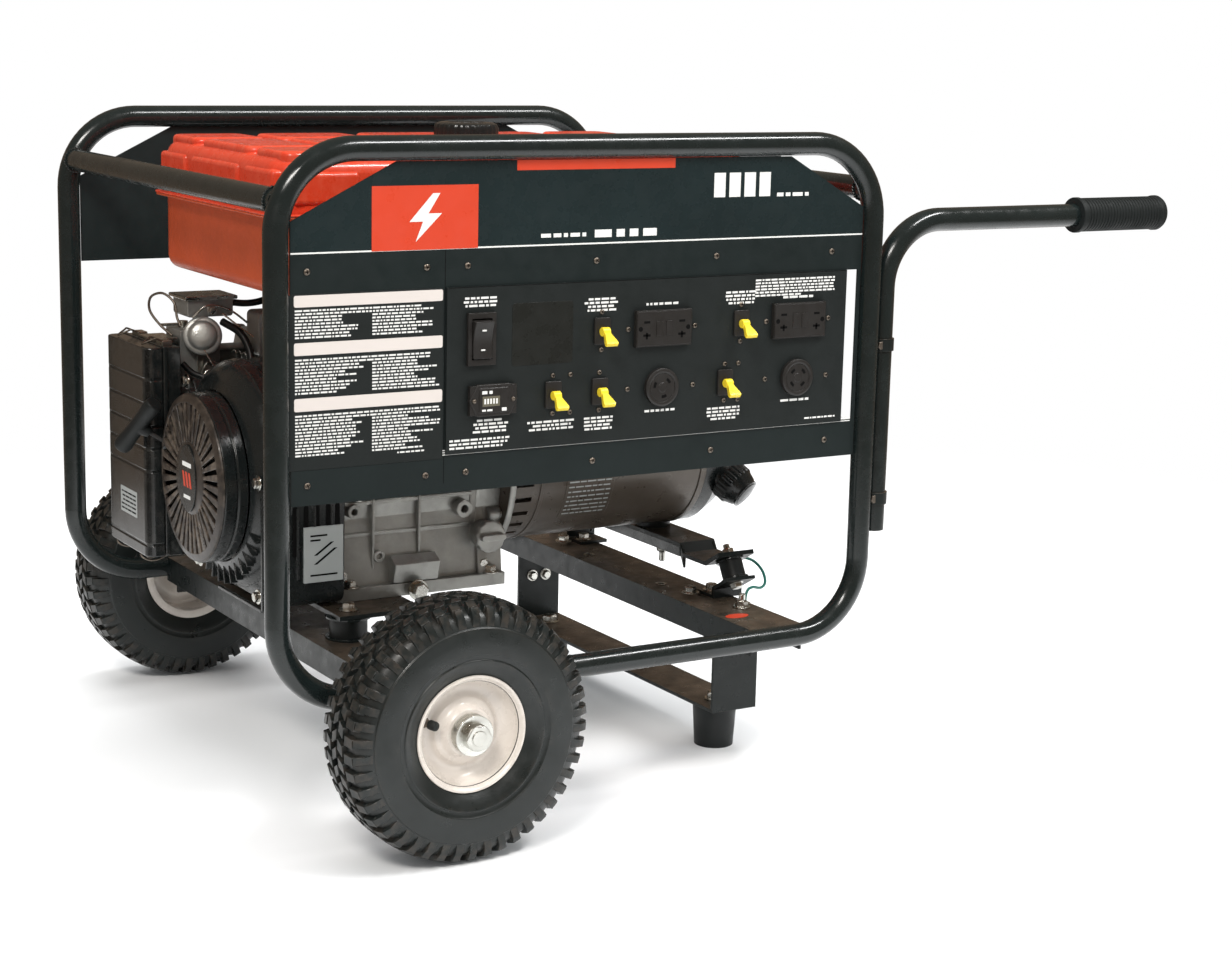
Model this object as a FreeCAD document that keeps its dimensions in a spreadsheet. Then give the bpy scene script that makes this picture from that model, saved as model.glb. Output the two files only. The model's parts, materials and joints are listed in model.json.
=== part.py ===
"""Portable generator: a wheeled tube frame that carries an engine, an alternator, a tank and a panel.

Lengths are millimetres. Places are written from the foot of the front left post (x along the
frame towards the alternator end, y towards the back, z up from the floor), and every sub-part's
Placement moves them to the model's origin, the middle of the footprint on the floor.
"""

import FreeCAD, Part
import math
import os
from types import SimpleNamespace

import Sketcher

V = FreeCAD.Vector
TURN = FreeCAD.Rotation

SIZES = {
    "origin_x": 571.254,
    "origin_y": 310.15,
    # tube frame
    "loop_length": 717.8,
    "loop_gap": 620.3,
    "tube_radius": 12.7,
    "tube_wall": 1.8,
    "tube_low": 157.4,
    "tube_high": 712.8,
    "corner_radius": 83.0,
    "crossbar_height": 662.6,
    "crossbar_inset": 6.0,
    "channel_top": 169.5,
    "channel_tall": 30.0,
    "channel_wall": 3.0,
    "engine_channel_x": 115.0,
    "engine_channel_width": 62.0,
    "rear_channel_x": 574.0,
    "rear_channel_width": 70.0,
    "stand_bottom": 50.0,
    "stand_front": 80.0,
    "stand_back": 553.0,
    "stand_wall": 4.0,
    "stand_width": 61.0,
    "foot_radius": 26.0,
    # wheels and axle
    "wheel_x": 164.2,
    "tyre_radius": 136.5,
    "tyre_width": 87.2,
    "front_wheel_y": -73.2,
    "rear_wheel_y": 693.5,
    "axle_radius": 7.95,
    "hub_bore": 8.0,
    "hub_radius": 17.0,
    "hub_inner": 40.0,
    "hub_outer": 36.5,
    "hub_play": 0.2,
    "axle_end": 50.2,
    # panels
    "panel_low": 362.0,
    "panel_high": 700.0,
    "panel_shoulder": 643.0,
    "panel_edge": 14.3,
    "sheet": 2.0,
    "control_left": 184.0,
    "control_right": 683.0,
    "control_low": 402.0,
    "control_high": 573.0,
    "rear_panel_low": 542.0,
    "lower_row": 456.5,
    "upper_row": 520.5,
    # tank
    "tank_left": 62.0,
    "tank_right": 650.0,
    "tank_front": 136.0,
    "tank_back": 484.0,
    "tank_low": 549.0,
    "tank_high": 700.0,
    "tank_seam": 635.0,
    "cap_x": 363.0,
    "cap_y": 302.0,
    # engine and alternator share one shaft line
    "shaft_y": 316.0,
    "shaft_z": 332.0,
    "engine_base": 200.0,
    "housing_front": 62.0,
    "housing_back": 160.0,
    "housing_radius": 128.0,
    "recoil_radius": 90.0,
    "recoil_face": 30.0,
    "case_front": 160.0,
    "case_back": 369.0,
    "barrel_radius": 103.0,
    "barrel_start": 418.0,
    "barrel_end": 650.0,
    "shaft_radius": 17.5,
    # handles
    "handle_radius": 13.35,
    "handle_x": 745.0,
    "handle_y": 10.0,
    "handle_foot": 269.0,
    "handle_arm": 624.6,
    "handle_bend": 75.0,
    "handle_stagger": 46.0,
    "grip_radius": 20.0,
    "grip_start": 280.0,
    "grip_end": 414.0,
    "grip_rim": 6.0,
}

doc = FreeCAD.newDocument("portable_generator")
sheet = doc.addObject("Spreadsheet::Sheet", "Sizes")
for line, (alias, number) in enumerate(SIZES.items(), start=1):
    sheet.set(f"A{line}", alias)
    sheet.set(f"B{line}", str(number))
    sheet.setAlias(f"B{line}", alias)
doc.recompute()


class Length:
    """A length: its value, and the sheet expression that a property is bound to."""

    def __init__(self, value, text):
        self.value = float(value)
        self.text = text

    def __add__(self, other):
        other = length(other)
        return Length(self.value + other.value, f"({self.text} + {other.text})")

    def __sub__(self, other):
        other = length(other)
        return Length(self.value - other.value, f"({self.text} - {other.text})")

    def __mul__(self, factor):
        return Length(self.value * factor, f"({self.text} * {factor})")

    def __truediv__(self, factor):
        return Length(self.value / factor, f"({self.text} / {factor})")

    def __neg__(self):
        return self * -1.0

    def __radd__(self, other):
        return length(other) + self

    def __rsub__(self, other):
        return length(other) - self


def length(value):
    if isinstance(value, Length):
        return value
    return Length(value, repr(float(value)))


S = SimpleNamespace(**{alias: Length(number, f"Sizes.{alias}") for alias, number in SIZES.items()})

STAND_LEFT = S.rear_channel_x + 4.0
FOOT_X = STAND_LEFT + S.stand_width / 2 - 2.0
FOOT_YS = (S.stand_front + 38.0, S.stand_back - 38.0)

UPRIGHT = TURN()
ALONG_X = TURN(V(1, 1, 1), 120)  # own X, Y, Z point along Y, Z, X
FACING_FRONT = TURN(V(1, 0, 0), 90)  # own X, Y, Z point along X, Z, -Y
NODES = []


def bind(piece, prop, value):
    piece.setExpression(prop, length(value).text)


def put(piece, at, turn=UPRIGHT):
    piece.Placement = FreeCAD.Placement(V(0, 0, 0), turn)
    for axis, value in zip("xyz", at):
        bind(piece, f"Placement.Base.{axis}", value)
    return piece


def node(label, piece, at=(0.0, 0.0, 0.0), turn=UPRIGHT):
    """Names a sub-part and moves it from the frame's corner to the model's origin."""
    piece.Label = label
    put(piece, (length(at[0]) - S.origin_x, length(at[1]) - S.origin_y, at[2]), turn)
    NODES.append(piece)
    return piece


def box(at, size):
    piece = doc.addObject("Part::Box", "box")
    for prop, value in zip(("Length", "Width", "Height"), size):
        bind(piece, prop, value)
    return put(piece, at)


def span(low, high):
    """A box from its lowest corner to its highest one."""
    return box(low, [length(b) - a for a, b in zip(low, high)])


def rod(at, radius, tall, turn=UPRIGHT):
    piece = doc.addObject("Part::Cylinder", "rod")
    bind(piece, "Radius", radius)
    bind(piece, "Height", tall)
    return put(piece, at, turn)


def cone(at, low_radius, high_radius, tall, turn=UPRIGHT):
    piece = doc.addObject("Part::Cone", "cone")
    bind(piece, "Radius1", low_radius)
    bind(piece, "Radius2", high_radius)
    bind(piece, "Height", tall)
    return put(piece, at, turn)


def elbow(at, bend, radius, start, end):
    """A quarter of a ring about a corner's centre, from direction start to direction end."""
    piece = doc.addObject("Part::Torus", "elbow")
    bind(piece, "Radius1", bend)
    bind(piece, "Radius2", radius)
    piece.Angle3 = 90
    return put(piece, at, TURN(start, end, start.cross(end), "ZXY"))


def hexagon(at, across, tall, turn=UPRIGHT):
    piece = doc.addObject("Part::Prism", "hexagon")
    piece.Polygon = 6
    bind(piece, "Circumradius", across / math.sqrt(3))
    bind(piece, "Height", tall)
    return put(piece, at, turn)


def cut(base, *tools):
    piece = doc.addObject("Part::Cut", "cut")
    piece.Base = base
    piece.Tool = tools[0] if len(tools) == 1 else group(*tools)
    return piece


def fuse(*pieces):
    piece = doc.addObject("Part::MultiFuse", "fuse")
    piece.Shapes = list(pieces)
    piece.Refine = True
    return piece


def group(*pieces):
    piece = doc.addObject("Part::Compound", "group")
    piece.Links = list(pieces)
    return piece


def rounded(base, radius, edges=range(1, 13)):
    piece = doc.addObject("Part::Fillet", "rounded")
    piece.Base = base
    piece.Edges = [(edge, radius, radius) for edge in edges]
    return piece


def sketch_on(body, plane, outlines, circles=()):
    """A sketch of closed outlines, every corner held to the sketch's origin by the sheet."""
    sketch = body.newObject("Sketcher::SketchObject", "outline")
    support = [item for item in body.Origin.OriginFeatures if item.Role == plane][0]
    sketch.AttachmentSupport = [(support, "")]
    sketch.MapMode = "FlatFace"
    for outline in outlines:
        corners = [(length(x), length(y)) for x, y in outline]
        first = sketch.GeometryCount
        ends = corners[1:] + corners[:1]
        for (x1, y1), (x2, y2) in zip(corners, ends):
            line = Part.LineSegment(V(x1.value, y1.value, 0), V(x2.value, y2.value, 0))
            sketch.addGeometry(line, False)
        for step in range(len(corners)):
            here = first + step
            after = first + (step + 1) % len(corners)
            sketch.addConstraint(Sketcher.Constraint("Coincident", here, 2, after, 1))
        for step, (x, y) in enumerate(corners):
            hold(sketch, "DistanceX", first + step, 1, x)
            hold(sketch, "DistanceY", first + step, 1, y)
    for x, y, radius in circles:
        x, y, radius = length(x), length(y), length(radius)
        ring = sketch.GeometryCount
        centre = V(x.value, y.value, 0)
        sketch.addGeometry(Part.Circle(centre, V(0, 0, 1), radius.value), False)
        hold(sketch, "DistanceX", ring, 3, x)
        hold(sketch, "DistanceY", ring, 3, y)
        index = sketch.addConstraint(Sketcher.Constraint("Radius", ring, radius.value))
        bind(sketch, f"Constraints[{index}]", radius)
    return sketch


def hold(sketch, kind, edge, point, value):
    index = sketch.addConstraint(Sketcher.Constraint(kind, -1, 1, edge, point, value.value))
    bind(sketch, f"Constraints[{index}]", value)


def spun(profile):
    """A body of revolution about its own Z, from corners given as (radius, height)."""
    body = doc.addObject("PartDesign::Body", "spun")
    sketch = sketch_on(body, "XZ_Plane", [profile])
    turned = body.newObject("PartDesign::Revolution", "turned")
    turned.Profile = sketch
    turned.ReferenceAxis = (sketch, ["V_Axis"])
    turned.Angle = 360
    body.Tip = turned
    return body


def slab(outlines, thick, circles=()):
    """A body padded along its own Z from its XY plane; outlines after the first are windows."""
    body = doc.addObject("PartDesign::Body", "slab")
    sketch = sketch_on(body, "XY_Plane", outlines, circles)
    padded = body.newObject("PartDesign::Pad", "padded")
    padded.Profile = sketch
    bind(padded, "Length", thick)
    body.Tip = padded
    return body


def rectangle(left, low, right, high):
    return [(left, low), (right, low), (right, high), (left, high)]


X, Y, Z = V(1, 0, 0), V(0, 1, 0), V(0, 0, 1)
AXIS_X = TURN(Z, X)
AXIS_Y = TURN(Z, Y)
AXIS_BACK = TURN(Z, -Y)
AXIS_LEFT = TURN(Z, -X)


# ---------------------------------------------------------------- tube frame


def loop_solid(radius):
    """One rounded rectangle of round bar in the plane y = 0."""
    bend = S.corner_radius
    run = S.loop_length - bend * 2
    rise = S.tube_high - S.tube_low - bend * 2
    right, low, high = S.loop_length - bend, S.tube_low + bend, S.tube_high - bend
    return fuse(
        rod((bend, 0.0, S.tube_low), radius, run, AXIS_X),
        rod((bend, 0.0, S.tube_high), radius, run, AXIS_X),
        rod((0.0, 0.0, low), radius, rise),
        rod((S.loop_length, 0.0, low), radius, rise),
        elbow((right, 0.0, low), bend, radius, X, -Z),
        elbow((right, 0.0, high), bend, radius, Z, X),
        elbow((bend, 0.0, high), bend, radius, -X, Z),
        elbow((bend, 0.0, low), bend, radius, -Z, -X),
    )


def frame_loops():
    for label, y in (("front_loop", 0.0), ("rear_loop", S.loop_gap)):
        loop = cut(loop_solid(S.tube_radius), loop_solid(S.tube_radius - S.tube_wall))
        node(label, loop, (0.0, y, 0.0))


def both_loops():
    """The two loops as solid bar, for cutting the pieces between them to the tubes' round."""
    return [put(group(loop_solid(S.tube_radius)), (0.0, y, 0.0)) for y in (0.0, S.loop_gap)]


def top_crossbars():
    bars = []
    for x in (S.crossbar_inset, S.loop_length - S.crossbar_inset):
        start, run = (x, 2.0, S.crossbar_height), S.loop_gap - 4.0
        bore = rod(start, S.tube_radius - S.tube_wall, run, AXIS_Y)
        bars.append(cut(rod(start, S.tube_radius, run, AXIS_Y), bore, *both_loops()))
    node("top_crossbars", group(*bars))


def channel(label, left, width, holes):
    """A downward open channel whose ends are cut to the bottom tubes."""
    wall = S.channel_wall
    low = S.channel_top - S.channel_tall
    right = left + width
    outline = [
        (left, low),
        (left + wall, low),
        (left + wall, S.channel_top - wall),
        (right - wall, S.channel_top - wall),
        (right - wall, low),
        (right, low),
        (right, S.channel_top),
        (left, S.channel_top),
    ]
    body = put(slab([outline], S.loop_gap - 2.0), (0.0, S.loop_gap - 1.0, 0.0), FACING_FRONT)
    bores = [rod((x, y, S.channel_top - 8.0), 4.2, 12.0) for x, y in holes]
    node(label, cut(body, *both_loops(), *bores))


def stand():
    """A flat bar bent to a wide U, hung inside the alternator end channel."""
    wall = S.stand_wall
    top = S.channel_top - S.channel_wall
    front, back, low = S.stand_front, S.stand_back, S.stand_bottom
    outline = [
        (front, low),
        (back, low),
        (back, top),
        (back - wall, top),
        (back - wall, low + wall),
        (front + wall, low + wall),
        (front + wall, top),
        (front, top),
    ]
    bar = put(slab([outline], S.stand_width), (STAND_LEFT, 0.0, 0.0), ALONG_X)
    bolts = [rod((FOOT_X, y, low - 1.0), 5.2, 8.0) for y in FOOT_YS]
    node("stand", cut(bar, *bolts))


# ---------------------------------------------------------------- rubber and brackets

MOUNT_X = S.engine_channel_x + 43.0
MOUNT_YS = (S.shaft_y - 141.0, S.shaft_y + 141.0)
SLANT_X = 638.0
SLANT = 30.0
LEAN_Y, LEAN_Z = math.sin(math.radians(SLANT)), math.cos(math.radians(SLANT))
SLANT_REACH = 186.5  # from the shaft line out to the lower end of a slanted mount
SLANT_LOW = 192.2
SLANT_TALL = 26.0


def bored(radius, bore, tall):
    return cut(rod((0.0, 0.0, 0.0), radius, tall), rod((0.0, 0.0, -1.0), bore, length(tall) + 2.0))


def rubber_mounts():
    """Two bumper feet, two upright engine mounts and two slanted alternator mounts."""
    pieces = []
    for y in FOOT_YS:
        bumper = cone((FOOT_X, y, 0.0), S.foot_radius - 3.0, S.foot_radius, S.stand_bottom)
        pieces.append(cut(bumper, rod((FOOT_X, y, S.stand_bottom - 20.0), 5.2, 21.0)))
    tall = S.engine_base - 5.0 - S.channel_top
    for y in MOUNT_YS:
        pieces.append(put(bored(21.0, 5.0, tall), (MOUNT_X, y, S.channel_top)))
    for side in (-1, 1):
        place = (SLANT_X, S.shaft_y + side * SLANT_REACH, SLANT_LOW)
        pieces.append(put(bored(14.0, 4.0, SLANT_TALL), place, TURN(X, side * SLANT)))
    node("rubber_mounts", group(*pieces))


def across(side, reach):
    """A y place at a distance from the shaft line, towards the front (-1) or the back (1)."""
    return S.shaft_y + side * reach


def slanted_seat(side):
    """A bent plate that holds the lower end of a slanted mount on the channel."""
    top = S.channel_top
    out_y, out_z = SLANT_REACH + 13.9, SLANT_LOW + 7.9
    in_y, in_z = SLANT_REACH - 15.9, SLANT_LOW - 9.25
    outline = [
        (across(side, out_y), out_z),
        (across(side, in_y), in_z),
        (across(side, in_y), top + 4.0),
        (across(side, in_y - 32.0), top + 4.0),
        (across(side, in_y - 32.0), top),
        (across(side, in_y + 4.0), top),
        (across(side, in_y + 4.0), in_z - 2.3),
        (across(side, out_y + 2.0), out_z - 3.5),
    ]
    return put(slab([outline], 40.0), (616.0, 0.0, 0.0), ALONG_X)


def axle_plate(y):
    plate = span((S.wheel_x - 30.0, y, 118.0), (S.wheel_x + 30.0, length(y) + 5.0, 170.0))
    return cut(plate, rod((S.wheel_x, length(y) - 1.0, S.tyre_radius), 8.05, 7.0, AXIS_Y))


def handle_block(back, z):
    """A ring for a handle's upright, with a web to the frame post beside it."""
    centre = S.loop_gap - S.handle_y if back else S.handle_y
    post = S.loop_gap if back else length(0.0)
    web = span((S.loop_length + 5.0, centre - 8.0, z), (S.handle_x, centre + 8.0, z + 14.0))
    return cut(
        fuse(web, rod((S.handle_x, centre, z), S.handle_radius + 2.0, 14.0)),
        rod((S.loop_length, post, z - 1.0), S.tube_radius, 20.0),
        rod((S.handle_x, centre, z - 1.0), S.handle_radius + 0.08, 20.0),
    )


def brackets():
    """The welded brackets: engine plate, mount seats, tank rails, axle plates, handle blocks."""
    seat = S.engine_base
    engine_plate = span((137.0, MOUNT_YS[0] - 24.0, seat - 5.0), (237.0, MOUNT_YS[1] + 24.0, seat))
    bolts = [rod((MOUNT_X, y, seat - 6.0), 5.0, 7.0) for y in MOUNT_YS]
    pieces = [cut(engine_plate, *bolts), slanted_seat(-1), slanted_seat(1)]
    for x in (150.0, 560.0):
        pieces.append(span((x, 0.0, S.tank_low - 4.0), (x + 30.0, S.loop_gap, S.tank_low)))
    pieces.append(axle_plate(-S.tube_radius - 5.0))
    pieces.append(axle_plate(S.loop_gap + S.tube_radius))
    for back in (False, True):
        for z in (300.0, 478.0):
            pieces.append(handle_block(back, z))
    node("brackets", group(*pieces))


def foot_bracket():
    """The alternator's foot: a stepped bar between the slanted mounts, under a saddle."""
    low, step = 218.0, 206.8
    lower, upper = [], []
    tip_y = SLANT_REACH - SLANT_TALL * LEAN_Y
    tip_z = SLANT_LOW + SLANT_TALL * LEAN_Z
    reach = (tip_y + 13.9, tip_y - 13.9, 111.0, 104.0)
    under = (tip_z + 8.1, tip_z - 7.95, tip_z - 7.95, low)
    for y, z in zip(reach, under):
        lower.append((y, z))
        upper.append((y - 2.2, z + 4.8))
    outline = [(across(-1, y), z) for y, z in lower] + [(across(1, y), z) for y, z in reversed(lower)]
    outline += [(across(1, y), z) for y, z in upper] + [(across(-1, y), z) for y, z in reversed(upper)]
    bar = put(slab([outline], 50.0), (613.0, 0.0, 0.0), ALONG_X)
    saddle = cut(
        rod((SLANT_X, S.shaft_y, low + 4.8), 22.0, 12.0),
        rod((SLANT_X - 30.0, S.shaft_y, S.shaft_z), S.barrel_radius, 60.0, AXIS_X),
    )
    node("foot_bracket", fuse(bar, saddle))


# ---------------------------------------------------------------- wheels and axle


def tyre_profile():
    r, w = S.tyre_radius, S.tyre_width / 2
    half = [
        (r, 14.0), (r - 2.5, 28.0), (r - 12.5, w - 5.6), (r - 31.5, w), (80.0, w), (64.0, w - 4.6),
        (61.0, 31.0),
    ]
    inner = [
        (54.0, 31.0), (54.0, 23.0), (62.0, 25.0), (82.0, w - 8.0), (r - 32.5, w - 8.0),
        (r - 18.0, 31.0), (r - 10.0, 20.0),
    ]
    side = half + inner
    return side + [(radius, -length(height)) for radius, height in reversed(side)]


def rim_profile():
    well, seat, lip, edge = 50.0, 53.7, 60.5, 34.0
    thick = 2.7  # the lip's metal, along the axle
    return [
        (well, -edge), (lip, -edge), (lip, thick - edge), (seat, thick - edge), (seat, edge - thick),
        (lip, edge - thick), (lip, edge), (well, edge),
    ]


def disc_profile():
    """The dished plate between the hub and the rim, drawn out into a boss round the hub."""
    tube, well = S.hub_radius, 50.0
    return [
        (well, 14.0), (41.0, 9.5), (36.0, 10.5), (29.0, 19.0), (25.0, 26.0), (tube, 27.0),
        (tube, 23.5), (22.5, 23.0), (26.5, 17.0), (34.0, 7.5), (41.0, 6.3), (well, 11.0),
    ]


def wheels():
    for side, y, out in (("front", S.front_wheel_y, AXIS_BACK), ("rear", S.rear_wheel_y, AXIS_Y)):
        centre = (S.wheel_x, y, S.tyre_radius)
        node(f"{side}_tyre", spun(tyre_profile()), centre, out)
        node(f"{side}_rim", spun(rim_profile()), centre, out)
        node(f"{side}_wheel_disc", spun(disc_profile()), centre, out)
        hub = [
            (S.hub_bore, -S.hub_inner), (S.hub_radius, -S.hub_inner), (S.hub_radius, S.hub_outer),
            (S.hub_bore, S.hub_outer),
        ]
        node(f"{side}_hub", spun(hub), centre, out)


def fasteners():
    """Axle nuts, washers and spacers, the feet's nuts, the alternator's stud and the drain bolt."""
    z = S.tyre_radius
    pieces = []
    for y, out in ((S.front_wheel_y, AXIS_BACK), (S.rear_wheel_y, AXIS_Y)):
        side = -1 if out is AXIS_BACK else 1
        bore = S.axle_radius
        inner, outer = -length(S.hub_inner) - S.hub_play, length(S.hub_outer) + S.hub_play
        for start, tall, radius in ((inner - 3.0, 3.0, 15.0), (outer, 2.5, 21.0), (inner - 15.2, 12.0, 11.0)):
            washer = bored(radius, bore, tall)
            pieces.append(put(washer, (S.wheel_x, y + start * side, z), out))
        nut = cut(hexagon((0.0, 0.0, 0.0), 24.0, 10.0), rod((0.0, 0.0, -1.0), bore, 12.0))
        pieces.append(put(nut, (S.wheel_x, y + (outer + 2.5) * side, z), out))
    for y in FOOT_YS:
        shank = rod((FOOT_X, y, S.stand_bottom - 18.0), 5.0, 24.0)
        pieces.append(fuse(shank, hexagon((FOOT_X, y, S.stand_bottom + S.stand_wall), 17.0, 8.0)))
    pieces.append(hexagon((SLANT_X - 6.0, S.shaft_y - 34.0, 205.0), 17.0, 13.0))
    pieces.append(hexagon((254.0, S.shaft_y - 110.0, 206.5), 17.0, 9.0, AXIS_BACK))
    node("fasteners", group(*pieces))


def axle():
    start, end = S.front_wheel_y - S.axle_end, S.rear_wheel_y + S.axle_end
    bar = rod((0.0, 0.0, 0.0), S.axle_radius, end - start)
    node("axle", bar, (S.wheel_x, start, S.tyre_radius), AXIS_Y)


# ---------------------------------------------------------------- panels and devices

BREAKERS = (
    (307.9, S.lower_row), (364.3, S.lower_row), (522.7, S.lower_row),
    (365.7, S.upper_row), (541.8, S.upper_row),
)
DUPLEX = (440.5, 617.4)
LOCKING = (440.5, 617.6)
PLATE_FRONT = -S.sheet * 2.0
SWITCH = (222.4, 519.5)
METER = (235.5, 456.2)


def shoulders(low):
    """A panel that fills a loop down to low, with its top corners cut off."""
    left, right = S.panel_edge, S.loop_length - S.panel_edge
    return [
        (left, low), (right, low), (right, S.panel_shoulder), (right - 115.0, S.panel_high),
        (left + 114.0, S.panel_high), (left, S.panel_shoulder),
    ]


def panels():
    window = rectangle(197.0, 412.0, 675.0, 543.0)
    gap = rectangle(S.control_right + 1.0, S.control_low + 1.0, S.loop_length - 19.0, S.control_high)
    node("front_panel", slab([shoulders(S.panel_low), window, gap], S.sheet), turn=FACING_FRONT)
    back = slab([shoulders(S.rear_panel_low)], S.sheet)
    node("rear_panel", back, (0.0, S.loop_gap + S.sheet, 0.0), FACING_FRONT)
    walls = span((192.0, 0.0, 408.0), (680.0, 70.0, S.tank_low - 4.2))
    node("control_box", cut(walls, span((193.5, -1.0, 409.5), (678.5, 68.5, S.tank_low - 5.7))))


def control_panel():
    plate = slab([rectangle(S.control_left, S.control_low, S.control_right, S.control_high)], S.sheet)
    holes = [neck(x, z, 15.0, 24.0) for x, z in BREAKERS]
    holes += [neck(x, S.upper_row, 66.0, 36.0) for x in DUPLEX]
    holes += [rod((x, 1.0, S.lower_row), 19.0, 7.0, AXIS_BACK) for x in LOCKING]
    holes += [neck(*SWITCH, 28.0, 46.0), neck(*METER, 46.0, 24.0)]
    put(plate, (0.0, -S.sheet, 0.0), FACING_FRONT)
    node("control_panel", cut(plate, *holes))


def neck(x, z, wide, tall, front=PLATE_FRONT - 1.0, back=1.0):
    half_w, half_t = wide / 2, tall / 2
    return span((x - half_w, front, length(z) - half_t), (x + half_w, back, length(z) + half_t))


def device(x, z, face, body, stand_off, depth):
    """A panel device: a face on the front of the plate and a body through it."""
    front = neck(x, z, *face, PLATE_FRONT - stand_off, PLATE_FRONT)
    return fuse(front, neck(x, z, *body, PLATE_FRONT, depth))


def button_well(x):
    return neck(x, S.upper_row, 8.6, 16.6, PLATE_FRONT - 6.0, PLATE_FRONT - 1.5)


def devices():
    cases = []
    for x, z in BREAKERS:
        case = device(x, z, (18.0, 27.0), (15.0, 24.0), 2.5, 0.0)
        cases.append(fuse(case, neck(x, z, 22.0, 44.0, 0.0, 45.0)))
    node("circuit_breakers", group(*cases))
    outlets = []
    for x in DUPLEX:
        case = device(x, S.upper_row, (69.4, 38.9), (66.0, 36.0), 5.0, 34.0)
        outlets.append(cut(case, *(button_well(x + shift) for shift in (-6.0, 6.0))))
    for x in LOCKING:
        body = rod((x, 36.0, S.lower_row), 19.0, 40.0, AXIS_BACK)
        outlets.append(fuse(body, rod((x, PLATE_FRONT, S.lower_row), 20.5, 4.0, AXIS_BACK)))
    node("receptacles", group(*outlets))
    bezel = device(*SWITCH, (32.0, 54.0), (28.0, 46.0), 4.0, 30.0)
    bezel = cut(bezel, neck(*SWITCH, 23.0, 42.0, PLATE_FRONT - 5.0, 8.0))
    meter = device(*METER, (54.0, 30.5), (46.0, 24.0), 5.0, 30.0)
    node("instrument_cases", group(bezel, meter))


def panel_screws():
    heads = []
    for x in (32.0, 162.0, 208.0, 359.0, 509.0, 662.0):
        for z in (594.3, 382.0):
            heads.append(rod((x, -S.sheet, z), 3.2, 1.8, AXIS_BACK))
    spots = [(x, length(z) + shift) for x, z in BREAKERS for shift in (-20.0, 20.0)]
    spots += [(x + shift, S.upper_row) for x in DUPLEX for shift in (-41.8, 41.8)]
    spots += [(x + shift, S.lower_row) for x in LOCKING for shift in (-41.3, 41.3)]
    heads += [rod((x, PLATE_FRONT, z), 2.6, 1.6, AXIS_BACK) for x, z in spots]
    node("panel_screws", group(*heads))


def switch_levers():
    """The breakers' toggles, the idle rocker and the test and reset buttons."""
    for number, (x, z) in enumerate(BREAKERS, start=1):
        lever = fuse(
            rod((-4.5, 0.0, 0.0), 5.0, 9.0, AXIS_X),
            span((-5.5, -19.0, -2.5), (5.5, 0.0, 2.5)),
        )
        node(f"breaker_toggle_{number}", lever, (x, PLATE_FRONT - 8.0, z), TURN(X, 35))
    rocker = span((-11.0, -7.0, -19.5), (11.0, 3.0, 19.5))
    node("idle_rocker", group(rocker), (SWITCH[0], PLATE_FRONT - 2.0, SWITCH[1]), TURN(X, 7))
    for number, x in enumerate(DUPLEX, start=1):
        for job, shift in (("test", -6.0), ("reset", 6.0)):
            place = (x + shift - 4.0, PLATE_FRONT - 6.2, S.upper_row - 8.0)
            node(f"{job}_button_{number}", box((0.0, 0.0, 0.0), (8.0, 3.6, 16.0)), place)


# ---------------------------------------------------------------- fuel tank


def fuel_tank():
    low = (S.tank_left, S.tank_front, S.tank_low)
    high = (S.tank_right, S.tank_back, S.tank_high)
    skin, round_off = 1.5, 26.0
    outer = rounded(span(low, high), round_off)
    hollow = rounded(span([a + skin for a in low], [b - skin for b in high]), round_off - skin)
    lip = span(
        (S.tank_left - 11.0, S.tank_front - 11.0, S.tank_seam - 2.0),
        (S.tank_right + 11.0, S.tank_back + 11.0, S.tank_seam + 2.0),
    )
    neck_tube = rod((S.cap_x, S.cap_y, S.tank_high - 5.0), 31.0, 17.0)
    filler = rod((S.cap_x, S.cap_y, S.tank_high - 6.0), 28.0, 20.0)
    node("fuel_tank", cut(fuse(outer, lip, neck_tube), hollow, filler))
    cap = [
        (31.6, 1.0), (37.0, 1.0), (37.0, 16.0), (33.0, 21.0), (0.0, 21.0),
        (0.0, 11.3), (31.6, 11.3),
    ]
    node("fuel_cap", spun(cap), (S.cap_x, S.cap_y, S.tank_high + 1.0))


# ---------------------------------------------------------------- engine

CYLINDER_X = 212.0
LEAN = TURN(X, -65)  # the cylinder's axis, 25 degrees above level towards the back
DECK = 110.1


def crankcase():
    y, z = S.shaft_y, S.shaft_z
    outline = [
        (y - 110.0, S.engine_base), (y + 110.0, S.engine_base), (y + 110.0, S.engine_base + 14.0),
        (y + 102.0, S.engine_base + 14.0), (y + 125.8, z - 9.8), (y + 73.4, z + 102.6),
        (y - 16.0, z + 98.0), (y - 72.0, z + 62.0), (y - 98.0, z - 2.0), (y - 94.0, z - 42.0),
        (y - 102.0, S.engine_base + 14.0), (y - 110.0, S.engine_base + 14.0),
    ]
    block = slab([outline], S.case_back - S.case_front)
    put(block, (S.case_front, 0.0, 0.0), ALONG_X)
    inside = rod((S.case_front + 11.0, y, z), 86.0, S.case_back - S.case_front - 21.0, AXIS_X)
    bore = rod((S.case_front - 1.0, y, z), S.shaft_radius + 0.05, 210.0, AXIS_X)
    barrel = put(group(rod((0.0, 0.0, 70.0), 38.5, 50.0)), (CYLINDER_X, y, z), LEAN)
    filler = rod((345.0, y - 88.0, z - 72.0), 16.0, 24.0, AXIS_BACK)
    node("crankcase", cut(fuse(block, filler), inside, bore, barrel))
    cap = fuse(
        rod((0.0, 0.0, 0.0), 19.0, 9.0),
        span((-17.0, -4.0, 9.0), (17.0, 4.0, 17.0)),
    )
    node("oil_filler_cap", cap, (345.0, y - 112.2, z - 72.0), AXIS_BACK)


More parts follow.
